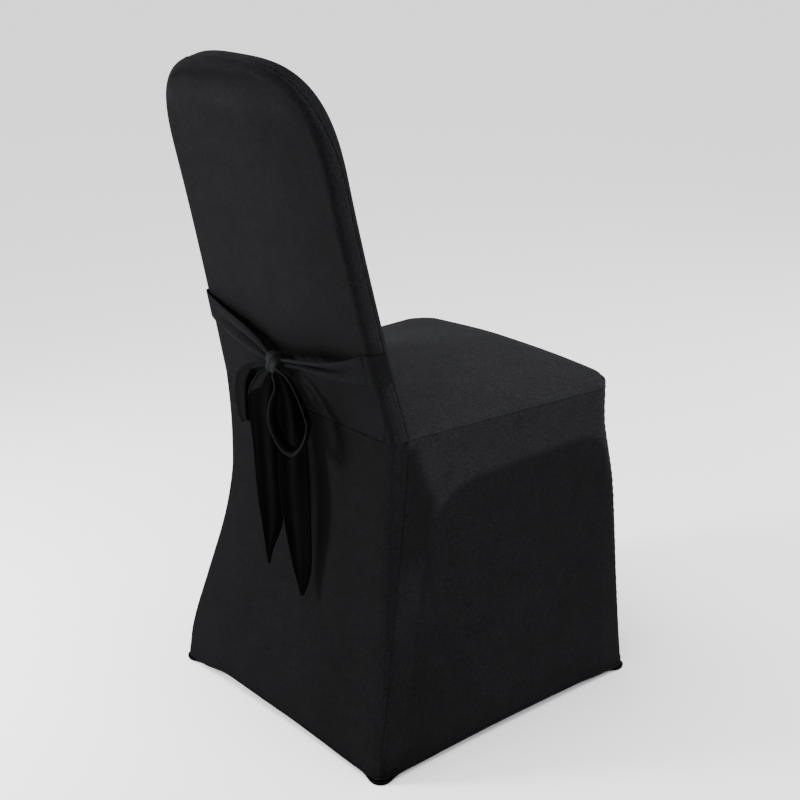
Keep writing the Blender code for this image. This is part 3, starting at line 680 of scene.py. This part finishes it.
def side_details(y, z, first):
    """Tucks at a side panel's front foot and a crease under the seat's rear part, and a function that
    darkens a tone in a strip beside the rear seam and over the legs, and paints shade low down beside that
    seam and at its foot."""
    move = groove(z - np.interp(-y, (0.12, 0.25), (0.026, 0.013)), CORNER_TUCK)
    move = move * smooth((-y - 0.11) / 0.05) * smooth((0.262 + y) / 0.012)
    move += groove(SEAT_HEIGHT - z, SEAT_CREASE) * smooth((y - 0.055) / 0.03)
    strip = smooth((y - np.interp(z, (0.36, 0.43), (0.074, 0.106))) / 0.022)
    strip = strip * smooth((z - 0.20) / 0.10) * smooth((0.450 - z) / 0.012)

    def shaded(tone):
        tone = mix(tone, TONE_FREE * 0.86, strip)
        tone = mix(tone, np.minimum(tone, TONE_LEG), smooth((0.36 - z) / 0.05))
        tone = tone * (1 - 0.24 * bump(first / 0.13) * smooth((0.24 - z) / 0.14))
        return tone * (1 - 0.40 * bump(first / 0.06) * smooth((0.050 - z) / 0.040))

    return move, shaded


def build_skirt(fabric):
    """The four panels that hang from the seat to the floor."""
    side = np.arange(REAR_SEAM, FRONT_SEAM + 1)
    rear = np.arange(-REAR_SEAM, REAR_SEAM + 1)
    front = np.arange(FRONT_SEAM - MIDDLE, MIDDLE - FRONT_SEAM + 1)
    panels = {
        "skirt_back": ("rear", np.where(rear < 0, -1, 1), np.abs(rear)),
        "skirt_right": ("side", np.full_like(side, -1), side),
        "skirt_left": ("side", np.full_like(side, 1), side),
        "skirt_front": ("front", np.where(front < 0, -1, 1), MIDDLE - np.abs(front)),
    }
    made = []
    for name, (kind, sides, places) in panels.items():
        grid, free = skirt_points(kind, sides, places)
        normal = normals(grid, INSIDE_SKIRT)
        x, y, z = np.moveaxis(grid, -1, 0)
        first, last = distance_from(grid, grid[:, :1]), distance_from(grid, grid[:, -1:])
        top, bottom = distance_from(grid, grid[-1:]), distance_from(grid, grid[:1])
        along = y if kind == "side" else x
        move = SIDE_ROLL * (roll(first) + roll(last)) + TOP_ROLL * roll(top)
        move += pucker(first, z) + pucker(last, z + 1.0) + TOP_PUCKER * pucker(top, along)
        move += HEM_PROUD * smooth((HEM_WIDTH - bottom) / HEM_STEP)
        for line in (HEM_STITCH, HEM_EDGE, HEM_LIP):
            move += groove(bottom, line)
        move += HEM_WAVE * np.sin(along * 300 + 3 * np.sin(along * 90)) * bump((bottom - HEM_WIDTH) / 0.006)
        move += UNEVEN_SKIRT * unevenness(grid, len(name)) * smooth(bottom / 0.05)
        # The front tone holds painted light; the side tones are partly painted light, as the lamps light
        # the sides less than the rear.
        taut = {"side": TONE_SIDE, "rear": TONE_REAR, "front": TONE_FRONT_PAINTED_LIGHT}[kind]
        tone = mix(taut, TONE_FREE if kind == "side" else taut * 0.9, free)
        if kind == "side":
            details, shaded = side_details(y, z, first)
            move += details
            tone = shaded(tone)
        if kind == "rear":
            # Painted light where the rear panel turns round its corners, painted shade towards its right
            # side (-X), and the bow's painted shadow.
            turned = smooth(np.abs(normal[..., 0]) * 1.25)
            tone = tone * mix(1.0, 1.6, turned) * (1 - 0.14 * smooth(-x / 0.16)) * bow_shade(x, z)
        # Painted highlight on the hem's rolled lip and painted shade in the crease above it.
        lip, above_lip = smooth((0.0036 - bottom) / 0.0012), bump((bottom - 0.0052) / 0.0022)
        tone = tone * (1 + 0.30 * lip - 0.34 * above_lip)
        grid = grid + normal * move[..., None]
        grid, tone = with_allowance(grid, np.broadcast_to(tone, z.shape), normal)
        made.append(add_cloth(name, [(grid, tone)], fabric, -1, INSIDE_SKIRT))
    return made


def back_place(x, q, depth):
    """Points on or in the back: q along its lean from the seat up, and depth forward of its rear face."""
    lean = LEAN * smooth(q / 0.06)
    y = REAR_Y + q * math.sin(LEAN) - depth * np.cos(lean)
    z = SEAT_HEIGHT + q * math.cos(LEAN) + depth * np.sin(lean)
    return np.stack(np.broadcast_arrays(x, y, z), axis=-1)


def back_half_width(q):
    """Half width of the back below its crown; it narrows more and more slowly."""
    return mix(BASE_HALF_WIDTH, CROWN_HALF_WIDTH, smooth(0.5 + q / CROWN_START / 2) * 2 - 1)


def back_outline():
    """Outline of the back as closely spaced (x, q), from its right foot over the crown to its left foot."""
    steps = 240
    rise = BACK_LENGTH - CROWN_START
    right = []
    for k in range(steps):
        q = CROWN_START * k / steps
        right.append((-back_half_width(q), q))
    for k in range(steps):
        angle = math.pi / 2 * k / steps
        x = CROWN_HALF_WIDTH * math.cos(angle) ** (2 / CROWN_POWER)
        right.append((-x, CROWN_START + rise * math.sin(angle) ** (2 / CROWN_POWER)))
    return np.array(right + [(0.0, BACK_LENGTH)] + [(-x, q) for x, q in reversed(right)])


def outline_stations():
    """Columns x, q and outward normal round the back's outline: ROWS_BACK steps up each side and
    COLUMNS_BACK over the crown."""
    line = back_outline()
    lengths = lengths_along(line)
    total = lengths[-1]
    shoulder_q = mix(CROWN_START, BACK_LENGTH, 0.75)
    shoulder = lengths[np.argmax(line[:, 1] > shoulder_q)]
    places = np.concatenate([
        np.linspace(0, shoulder, ROWS_BACK + 1)[:-1],
        np.linspace(shoulder, total - shoulder, COLUMNS_BACK + 1)[:-1],
        np.linspace(total - shoulder, total, ROWS_BACK + 1),
    ])

    def point(length):
        length = np.clip(length, 0.0, total)
        return np.interp(length, lengths, line[:, 0]), np.interp(length, lengths, line[:, 1])

    x, q = point(places)
    before, after = point(places - 0.006), point(places + 0.006)
    normal_x = before[1] - after[1]
    normal_q = (after[0] - before[0]) * smooth(q / 0.05)
    size = np.hypot(normal_x, normal_q)
    return x, q, normal_x / size, normal_q / size, places


def patch(boundary, rows, columns):
    """Points of a patch inside a boundary that runs up its right side, over the top and down its left
    side; the bottom is straight between its ends."""
    right = boundary[: rows + 1]
    top = boundary[rows : rows + columns + 1]
    left = boundary[rows + columns :][::-1]
    u = np.linspace(0, 1, columns + 1)[:, None]
    v = np.linspace(0, 1, rows + 1)[:, None, None]
    bottom = mix(right[0], left[0], u)
    corners = mix(bottom, mix(right[-1], left[-1], u), v)
    return mix(bottom, top, v) + mix(right[:, None], left[:, None], u) - corners


def seam_depth(q):
    """How far forward of the rear face the back's edge seam runs, at a height q along the back."""
    lower = mix(SEAM_AT_BASE, SEAM_AT_SIDE, smooth(q / 0.12))
    return mix(lower, SEAM_AT_TOP, smooth((q - CROWN_START) / (BACK_LENGTH - CROWN_START) / 0.9))


def tie_middle(x):
    """Height of the middle of the ties where they cross the back at x."""
    straps = [(-1, strap) for strap in RIGHT_STRAP] + [(1, strap) for strap in LEFT_STRAP]
    crossings = sorted((side * strap.x, (strap.top + strap.bottom) / 2) for side, strap in straps)
    return np.interp(x, *zip(*crossings))


def crown_crest(x):
    """Height along the back of the dent under its crown."""
    return CROWN_CREST - 0.10 * (x + 0.02) ** 2 - 0.055 * (x + 0.02)


def under_crown(x):
    """1 across the middle of the back, 0 at its sides."""
    return smooth((DENT_HALF_WIDTH - np.abs(x)) / DENT_FADE)


def rear_relief(x, q):
    """How far the rear face's cloth stands out, at x and q."""
    past_crest = q - crown_crest(x)
    out = (groove(past_crest, DENT) + groove(past_crest, RIDGE)) * under_crown(x)
    above = SEAT_HEIGHT + q * math.cos(LEAN) - tie_middle(x) - 0.004
    hollow = bump(above / np.where(above > 0, HOLLOW_ABOVE, HOLLOW_BELOW))
    out -= HOLLOW_DEPTH * hollow * smooth((0.19 - np.abs(x)) / 0.12)
    return out + 0.0005 * np.sin(17 * x + 9 * q) * np.sin(21 * q - 6 * x + 1.0)


def bow_shade(x, z):
    """How much light cloth keeps beside the bow, which stands out and shades it."""
    return 1 - 0.32 * bump((x + 0.084) / 0.034) * bump((z - 0.460) / 0.070)


def rear_tone(x, q):
    """How light the rear face's cloth is: painted shade in the dent under the crown, towards its right side
    (-X), low down, and above the ties where they draw it in; a painted highlight on the ridge under the
    dent; and the bow's painted shadow.
    """
    past_crest = q - crown_crest(x)
    wide = under_crown(x)
    z = SEAT_HEIGHT + q * math.cos(LEAN)
    tone = 1 - 0.26 * bump(past_crest / 0.008) * wide
    tone += 0.28 * bump((past_crest + 0.030) / 0.014) * wide * (0.7 + 0.3 * np.sin(38 * x + 0.8))
    tone = tone * (1 - 0.16 * smooth(-x / 0.17)) * (1 - 0.08 * smooth((0.20 - q) / 0.12)) * bow_shade(x, z)
    above = z - tie_middle(x) - 0.008
    shade = 0.50 * bump(above / 0.014) + 0.20 * bump(above / 0.040)
    return tone - np.where(above > -0.004, shade, 0.0) * smooth((0.185 - np.abs(x)) / 0.10)


def build_outside_back(fabric):
    """Rear panel of the back, with the part of its edge up to the seam."""
    x, q, nx, nq, along = outline_stations()
    end = seam_depth(q)
    columns = []
    for k in range(ARC + 1):
        angle = math.pi / 2 * k / ARC
        inward = REAR_ROUND * (1 - math.sin(angle))
        depth = REAR_ROUND * (1 - math.cos(angle))
        columns.append(back_place(x - nx * inward, q - nq * inward, np.full_like(q, depth)))
    runs = [mix(REAR_ROUND, end - SEAM_RUN, t) for t in (0.25, 0.5, 0.75)]
    runs += [end - SEAM_RUN * (1 - k / FINE) for k in range(FINE + 1)]
    for depth in runs:
        out = roll(end - depth) + pucker(end - depth, along)
        columns.append(back_place(x + nx * out, q + nq * out, depth))
    border = np.stack(columns, axis=1)
    inset = np.stack([x - nx * REAR_ROUND, q - nq * REAR_ROUND], axis=1)
    x, q = np.moveaxis(patch(inset, ROWS_BACK, COLUMNS_BACK), -1, 0)
    rows = np.arange(ROWS_BACK + 1)[:, None]
    cols = np.arange(COLUMNS_BACK + 1)
    rim = np.minimum(np.minimum(cols, COLUMNS_BACK - cols) / 4, (ROWS_BACK - rows) / 4)
    relief = rear_relief(x, q) * smooth(rim) * smooth(q / 0.004)
    relief += TOP_ROLL * roll(q) + TOP_PUCKER * pucker(q, x)
    face = back_place(x, q, -relief)
    tone = TONE_PADDED * rear_tone(x, q)
    # The back's rounded edges are made lighter with painted sheen.
    edge_painted_sheen = mix(TONE_PADDED, TONE_EDGE_PAINTED_SHEEN, smooth(np.linspace(-0.3, 1.2, border.shape[1])))[None, :]
    return add_cloth("outside_back", [(face, tone), (border, edge_painted_sheen)], fabric, -1, INSIDE_BACK)


def crease_q(x):
    """Height along the back of the crease where the seat meets it."""
    half = BASE_HALF_WIDTH - FRONT_ROUND_BASE
    crown = SEAT_CROWN * SEAT_CROWN_AT_BACK * (1 - np.minimum(1.0, np.abs(x) / half) ** 2.4)
    return SEAM_RUN + FRONT_ROUND_BASE + crown


def crease_corner(side, angle):
    """A point of the crease round the back's front edge, from its seam (0) to its face (90 degrees)."""
    x = side * (BASE_HALF_WIDTH - FRONT_ROUND_BASE * (1 - math.cos(angle)))
    depth = mix(SEAM_AT_BASE, BACK_THICKNESS, math.sin(angle))
    return back_place(x, SEAM_RUN + FRONT_ROUND_BASE * math.sin(angle), depth)


def build_inside_back(fabric):
    """Front panel of the back, from the crease at the seat up, with its part of the edge."""
    x, q, nx, nq, along = outline_stations()
    start = seam_depth(q)
    radius = mix(FRONT_ROUND_BASE, FRONT_ROUND, smooth(q / 0.10))
    columns = []
    for k in range(FINE + 1):
        depth = start + (BACK_THICKNESS - radius - start) * k / FINE
        distance = depth - start
        topstitch = groove(distance, TOPSTITCH) * smooth((q - 0.40) / 0.03)
        out = roll(distance) + pucker(distance, along + 2.0) + topstitch
        columns.append(back_place(x + nx * out, q + nq * out, depth))
    for k in range(1, ARC + 1):
        angle = math.pi / 2 * k / ARC
        inward = radius * (1 - math.cos(angle))
        depth = BACK_THICKNESS - radius * (1 - math.sin(angle))
        columns.append(back_place(x - nx * inward, q - nq * inward, depth))
    border = np.stack(columns, axis=1)
    inset = np.stack([x - nx * radius, q - nq * radius], axis=1)
    for n in (0, -1):
        side = math.copysign(1.0, x[n])
        ends = [crease_corner(side, math.pi / 2 * t) for t in np.linspace(0, 1, border.shape[1])]
        border[n] = np.array(ends)
        inset[n] = (ends[-1][0], crease_q(ends[-1][0]))
    x, q = np.moveaxis(patch(inset, ROWS_BACK, COLUMNS_BACK), -1, 0)
    v = np.linspace(0, 1, ROWS_BACK + 1)[:, None]
    u = np.linspace(0, 1, COLUMNS_BACK + 1)
    foot = crease_q(x[0]) - crease_q(x[0, 0])
    height = q + foot * (1 - v) ** 3
    height = height - CREASE_OVERLAP * (1 - v) ** 12 * smooth(np.minimum(u, 1 - u) / 0.04)
    bulge = FRONT_BULGE * (1 - (2 * u - 1) ** 4) * smooth(v / 0.4) * (1 - v**4)
    bulge = bulge + 0.0006 * np.sin(14 * x + 19 * height) * smooth(v / 0.1) * (1 - v**6)
    face = back_place(x, height, BACK_THICKNESS + bulge)
    face[:, 0], face[:, -1] = border[: ROWS_BACK + 1, -1], border[ROWS_BACK + COLUMNS_BACK :, -1][::-1]
    face[-1] = border[ROWS_BACK : ROWS_BACK + COLUMNS_BACK + 1, -1]
    # The front panel is made lighter with painted light.
    return add_cloth("inside_back", [(face, TONE_FRONT_PAINTED_LIGHT), (border, TONE_FRONT_PAINTED_LIGHT)], fabric, -1, INSIDE_BACK)


def build_seat(fabric):
    """Seat panel, drawn down over the cushion's edge to the seam with the skirt."""
    plan = PLAN[-1]
    half = [np.array((x, y, SEAT_HEIGHT)) for x, y in plan[REAR_SEAM:]]
    outline = [p * (-1, 1, 1) for p in half] + list(reversed(half))[1:]
    rows = FRONT_SEAM - REAR_SEAM
    columns = len(outline) - 1 - 2 * rows
    last = len(outline) - 1
    steps = FINE + ARC + 1
    edge = []
    for n, base in enumerate(outline):
        if n in (0, last):
            side = -1 if n == 0 else 1
            corner = [crease_corner(side, math.pi / 2 * k / (steps - 1)) for k in range(steps)]
            edge.append(np.array([base] + corner))
            continue
        before, after = outline[max(n - 2, 0)], outline[min(n + 2, last)]
        along = after - before
        inward = np.array((-along[1], along[0], 0.0)) / np.hypot(along[0], along[1])
        radius = mix(SEAT_ROUND_REAR, SEAT_ROUND, smooth((half[0][1] - base[1]) / 0.08))
        strip = []
        for k in range(FINE + 1):
            rise = SEAM_RUN * k / FINE
            out = TOP_ROLL * roll(rise) + pucker(rise, base[0] + base[1])
            strip.append(base + np.array((0, 0, rise)) - inward * out)
        for k in range(1, ARC + 1):
            angle = math.pi / 2 * k / ARC
            rise = SEAM_RUN + radius * math.sin(angle)
            strip.append(base + np.array((0, 0, rise)) + inward * radius * (1 - math.cos(angle)))
        edge.append(np.array(strip + [strip[-1] + inward * 0.0001]))
    edge = np.array(edge)
    top = patch(edge[:, -1], rows, columns)
    v = np.linspace(0, 1, rows + 1)[:, None]
    u = np.linspace(0, 1, columns + 1)
    across = 1 - np.abs(2 * u - 1) ** 2.4
    along = mix(SEAT_CROWN_AT_BACK, 1.0, smooth(v / 0.45)) * (1 - v**8)
    top[..., 2] += SEAT_CROWN * across * along
    slack = smooth((top[..., 0] - 0.02) / 0.14) * smooth((0.05 - top[..., 1]) / 0.10)
    top[..., 2] -= SEAT_SLACK * slack * across ** 0.3 * (1 - v**8)
    dip = bump((np.abs(top[..., 0]) - 0.190) / 0.010) * bump((top[..., 1] + 0.03) / 0.09)
    top[..., 2] -= 0.0018 * dip * smooth(across * 3)
    top[..., 2] += UNEVEN_SEAT * unevenness(top, 4) * across * smooth(v / 0.1) * (1 - v**8)
    rear_x, middle = top[0, 1:-1, 0], smooth(np.minimum(u, 1 - u)[1:-1] / 0.04)
    top[0, 1:-1] = back_place(rear_x, crease_q(rear_x), BACK_THICKNESS - CREASE_OVERLAP * middle)
    # The seat is made lighter with painted light, and darker towards +X with painted shade.
    parts = [
        (part, TONE_SEAT_PAINTED_LIGHT * (1.08 - 0.24 * smooth((part[..., 0] + 0.10) / 0.30))) for part in (top, edge)
    ]
    return add_cloth("seat_top", parts, fabric, -1, INSIDE_SEAT)


def build_pockets(fabric):
    """A shallow pocket at each corner of the hem, which slips under a foot."""
    level = LEVELS[0]
    ends = {"rear": (level.rear_x, level.rear_y), "front": (level.front_x, level.front_y)}
    outline = [(mix(POCKET_REACH, POCKET_RADIUS, k / 8), 0.0) for k in range(8)]
    for k in range(13):
        angle = math.pi / 2 * k / 12
        outline.append((POCKET_RADIUS * (1 - math.sin(angle)), POCKET_RADIUS * (1 - math.cos(angle))))
    outline += [(0.0, mix(POCKET_RADIUS, POCKET_REACH, k / 8)) for k in range(1, 9)]
    outline = np.array(outline)
    count = len(outline)
    near, far = np.array((POCKET_REACH - 0.004, 0.006)), np.array((0.006, POCKET_REACH - 0.004))
    inner = mix(near, far, np.linspace(0, 1, count)[:, None])
    towards = np.array((POCKET_REACH, POCKET_REACH)) - outline
    towards /= np.linalg.norm(towards, axis=1, keepdims=True)
    wall = ((0.0, POCKET_TOP), (-0.0002, 0.0040), (0.0, 0.0025), (0.0007, 0.0010), (0.0020, 0.0))
    rows = [(outline + towards * inward, height) for inward, height in wall]
    rows += [(mix(rows[-1][0], inner, 0.5), 0.0), (inner, 0.0)]
    taper = smooth((outline.sum(axis=1) - POCKET_REACH + 0.002) / -0.022)
    proud = mix(-0.0020, POCKET_PROUD, taper)
    made = []
    for end, hand in (("rear", "right"), ("rear", "left"), ("front", "right"), ("front", "left")):
        side = {"right": -1, "left": 1}[hand]
        corner_x, corner_y = ends[end]
        grid = np.zeros((len(rows), count, 3))
        for j, (flat, height) in enumerate(rows):
            grid[j, :, 0] = side * (corner_x + proud - flat[:, 0])
            grid[j, :, 1] = np.copysign(abs(corner_y) + proud - flat[:, 1], corner_y)
            grid[j, :, 2] = POCKET_TOP - (POCKET_TOP - height) * mix(0.10, 1.0, taper)
        inside = (side * (corner_x - 0.012), math.copysign(abs(corner_y) - 0.012, corner_y), 0.02)
        made.append(add_cloth(f"foot_pocket_{end}_{hand}", [(grid, TONE_POCKET)], fabric, -1, inside))
    return made


def off_back(x, z, stand):
    """Points behind the back's rear face, at a height z and a distance from the face."""
    q = (z - SEAT_HEIGHT + stand * math.sin(LEAN)) / math.cos(LEAN)
    return back_place(x, q, -stand)


def build_strap(name, side, table, pleats, drop, fabric):
    """A tie from the seam at the edge of the back, round its rear corner and across to the knot."""
    first = table[0]
    v = np.linspace(0, 1, ACROSS_TIE + 1)
    radius = REAR_ROUND + STRAP_CLEARANCE
    around = [(mix(0.0010, STRAP_CLEARANCE, t), mix(-0.0225, -REAR_ROUND, t)) for t in np.linspace(0, 1, 7)]
    for k in range(1, 9):
        angle = math.pi / 2 * k / 8
        around.append((radius * math.cos(angle) - REAR_ROUND, radius * math.sin(angle) - REAR_ROUND))
    rows, tones = [], []
    for beyond, stand in around:
        z = mix(first.top, first.bottom, v) - drop
        half_width = back_half_width((z - SEAT_HEIGHT) / math.cos(LEAN))
        rows.append(off_back(side * (half_width + beyond), z, stand))
    across = sum(groove(v, line) for line in pleats)
    straps = smooth_rows(table)[1:]
    for n, strap in enumerate(straps):
        t = (n + 1) / len(straps)
        depth = PLEAT_DEPTH * smooth(t * 1.4) * (1 - 0.55 * smooth((t - 0.75) / 0.25))
        # Painted light on the pleats' ridges and painted shade in their valleys, deeper on the right tie.
        light = np.maximum(across, 0.0) * 0.55 + np.minimum(across, 0.0) * (1.0 if side < 0 else 0.55)
        tones.append(TONE_TIE * (1.15 + light * smooth(t * 1.6)))
        z = mix(strap.top, strap.bottom, v) - drop * (1 - smooth((t - 0.3) / 0.6))
        rows.append(off_back(side * strap.x, z, strap.stand + 0.0012 + depth * across))
    rows += [mix(rows[-1], KNOT_CENTRE, t) for t in STRAP_LEAD]
    tones = [tones[0] * 1.25] * len(around) + tones + [tones[-1]] * len(STRAP_LEAD)
    return add_cloth(name, [(np.array(rows), np.array(tones))], fabric, 1, (0.0, 0.0, KNOT_CENTRE[2]))


def build_knot(fabric):
    """The knot: cloth drawn round in a narrow band, with its pleats."""
    bm = bmesh.new()
    tone_layer = bm.verts.layers.float.new("tone")
    uv_layer = bm.loops.layers.uv.new("cloth")
    rings = []
    for j in range(KNOT_RINGS + 1):
        polar = math.pi * j / KNOT_RINGS
        ring = []
        for i in range(KNOT_SEGMENTS if 0 < j < KNOT_RINGS else 1):
            turn = 2 * math.pi * i / KNOT_SEGMENTS
            x, y, z = math.sin(polar) * math.cos(turn), math.sin(polar) * math.sin(turn), math.cos(polar)
            size = sum(abs(c) ** KNOT_POWER for c in (x, y, z)) ** (-1 / KNOT_POWER)
            across = x * 0.94 + z * 0.34
            pleat = 1 + 0.09 * math.sin(across * 6.5 + 1.4 * z + 0.6) - 0.07 * bump((across - 0.25) / 0.14)
            ring.append(bm.verts.new(KNOT_CENTRE + np.array((x, y, z)) * size * KNOT_HALF * pleat))
            ring[-1][tone_layer] = TONE_KNOT
        rings.append(ring * (KNOT_SEGMENTS // len(ring)))
    for high, low in zip(rings, rings[1:]):
        for i in range(KNOT_SEGMENTS):
            corners = dict.fromkeys((high[i - 1], low[i - 1], low[i], high[i]))
            face = bm.faces.new(list(corners))
            face.smooth = True
            for loop in face.loops:
                place = loop.vert.co
                loop[uv_layer].uv = (place.x + place.y, place.z)
    return add_piece(bm, "bow_knot", fabric)


def build_tails(fabric):
    """The ties' free ends, which hang from the knot; the left one has its upper corner turned over."""
    made = []
    v = np.linspace(0, 1, ACROSS_TIE + 1)
    for name, table, seed in (("bow_tail_left", LEFT_TAIL, 0.0), ("bow_tail_right", RIGHT_TAIL, 1.7)):
        rows = []
        tails = smooth_rows(table)
        for n, tail in enumerate(tails):
            t = n / (len(tails) - 1)
            left = np.array((tail.left_x, tail.left_y, tail.z))
            right = np.array((tail.right_x, tail.right_y, tail.z))
            across = right - left
            normal = np.array((-across[1], across[0], 0.0))
            normal /= np.linalg.norm(normal)
            wave = np.sin(2 * math.pi * v) + 0.35 * np.sin(4 * math.pi * v + 5 * t + seed)
            fold = TAIL_FOLD * tail.fold * wave + TAIL_HEM * bump((v - 0.06) / 0.06) * smooth(t / 0.2)
            rows.append(left + across * v[:, None] + normal * fold[:, None])
        grid = np.array([mix(KNOT_CENTRE, rows[0], t) for t in TAIL_LEAD] + rows)
        t = np.linspace(0, 1, len(grid))[:, None]
        # Painted highlight along each tail's left edge, and a little lighter towards its right edge
        # half-way down.
        tones = TONE_TAIL * (1 + 0.45 * bump(v / 0.05) * smooth((0.95 - t) / 0.1))
        tones = tones + 0.04 * bump((t - 0.62) / 0.25) * v
        if name == "bow_tail_left":
            z = grid[..., 2].copy()
            grid[..., 2] += CORNER_LIFT * bump((z - 0.502) / 0.012) * smooth(1 - 1.6 * v)
            reach = 0.44 * np.clip((z - 0.472) / 0.014, 0.0, 1.0)
            # Painted light on the left tail's turned-over corner.
            tones = tones + TONE_TURNED_PAINTED_LIGHT * smooth((reach - v) / 0.06)
        made.append(add_cloth(name, [(grid, tones)], fabric, 0))
    return made


def build_loops(fabric):
    """The two loops. The left one's nearer band is squeezed, with painted light and shade in stripes for
    its folds and painted shade on its farther band; the right one has a painted highlight along its curled
    rim.
    """
    made = []
    s = np.linspace(0, 1, 13)
    for name, table, direction in (
        ("bow_loop_right", RIGHT_LOOP, RIGHT_LOOP_DIRECTION),
        ("bow_loop_left", LEFT_LOOP, LEFT_LOOP_DIRECTION),
    ):
        loops = smooth_rows(table)
        near = smooth((0.54 - np.linspace(0, 1, len(loops))) / 0.08) * (name == "bow_loop_left")
        rows = []
        for loop, share in zip(loops, 1 - NEAR_BAND_SQUEEZE * near):
            rows.append(np.array((loop.x, loop.y, loop.z)) + direction * (loop.width * share * s)[:, None])
        first = [mix(KNOT_CENTRE, rows[0], t) for t in LOOP_LEAD_IN]
        last = [mix(rows[-1], KNOT_CENTRE, t) for t in LOOP_LEAD_OUT]
        grid = np.array(first + rows + last)
        outward = grid - grid.mean(axis=(0, 1))
        outward -= (outward @ direction)[..., None] * direction
        outward /= np.maximum(np.linalg.norm(outward, axis=2, keepdims=True), 1e-9)
        rim = bump(s / 0.16)
        grid = grid + outward * LOOP_CURL * rim[:, None]
        if name == "bow_loop_left":
            near = np.concatenate([[near[0]] * len(first), near, [near[-1]] * len(last)])[:, None]
            tones = TONE_TIE * mix(0.25, 1.15 + 0.28 * np.cos(3 * math.pi * s + 0.4), near)
        else:
            tones = TONE_TIE * 0.4 + rim
        made.append(add_cloth(name, [(grid, tones)], fabric, 0))
    return made


def add_stage():
    """A plain pale floor, soft lights and the camera."""
    floor_mesh = bpy.data.meshes.new("floor")
    corners = [(x * FLOOR_REACH, y * FLOOR_REACH, 0) for x, y in ((-1, -1), (1, -1), (1, 1), (-1, 1))]
    floor_mesh.from_pydata(corners, [], [(0, 1, 2, 3)])
    paint = bpy.data.materials.new("pale_floor")
    paint.use_nodes = True
    shader = paint.node_tree.nodes["Principled BSDF"]
    shader.inputs["Base Color"].default_value = FLOOR_COLOUR
    shader.inputs["Roughness"].default_value = 0.9
    floor_mesh.materials.append(paint)
    place_object("floor", floor_mesh)

    world = bpy.data.worlds.new("studio")
    world.use_nodes = True
    surround = world.node_tree.nodes["Background"]
    surround.inputs["Color"].default_value = (1.0, 1.0, 1.0, 1.0)
    surround.inputs["Strength"].default_value = SURROUND_STRENGTH
    bpy.context.scene.world = world

    for row in LAMPS:
        data = bpy.data.lights.new(row.name, "AREA")
        data.size = row.size
        data.energy = row.power
        lamp = place_object(row.name, data)
        lamp.location = row.place
        lamp.rotation_euler = (TARGET - row.place).to_track_quat("-Z", "Y").to_euler()
    data = bpy.data.lights.new("overhead", "SUN")
    data.energy = SUN_STRENGTH
    data.angle = SUN_ANGLE
    place_object("overhead", data).rotation_euler = SUN_FROM.to_track_quat("Z", "Y").to_euler()

    data = bpy.data.cameras.new("camera")
    data.lens = LENS
    data.sensor_width = SENSOR_WIDTH
    camera = place_object("camera", data)
    camera.location = TARGET + BACKWARD * DISTANCE
    camera.rotation_euler = BACKWARD.to_track_quat("Z", "Y").to_euler()
    bpy.context.scene.camera = camera


def main():
    stretch_look = cloth_material("stretched_cloth_look", STRETCHED_COLOUR, 0.22)
    slack_look = cloth_material("tie_cloth_look", SLACK_COLOUR, 0.16)
    stretched = Fabric("stretched_cloth", stretch_look, CLOTH)
    slack = Fabric("tie_cloth", slack_look, TIE_CLOTH)
    pieces = build_skirt(stretched)
    pieces.append(build_outside_back(stretched))
    pieces.append(build_inside_back(stretched))
    pieces.append(build_seat(stretched))
    pieces += build_pockets(slack._replace(thickness=CLOTH))
    pieces.append(build_strap("tie_right", -1, RIGHT_STRAP, RIGHT_PLEATS, RIGHT_TIE_DROP, slack))
    pieces.append(build_strap("tie_left", 1, LEFT_STRAP, LEFT_PLEATS, 0.0, slack))
    build_knot(slack)
    pieces += build_tails(slack)
    pieces += build_loops(slack)
    add_stage()


main()
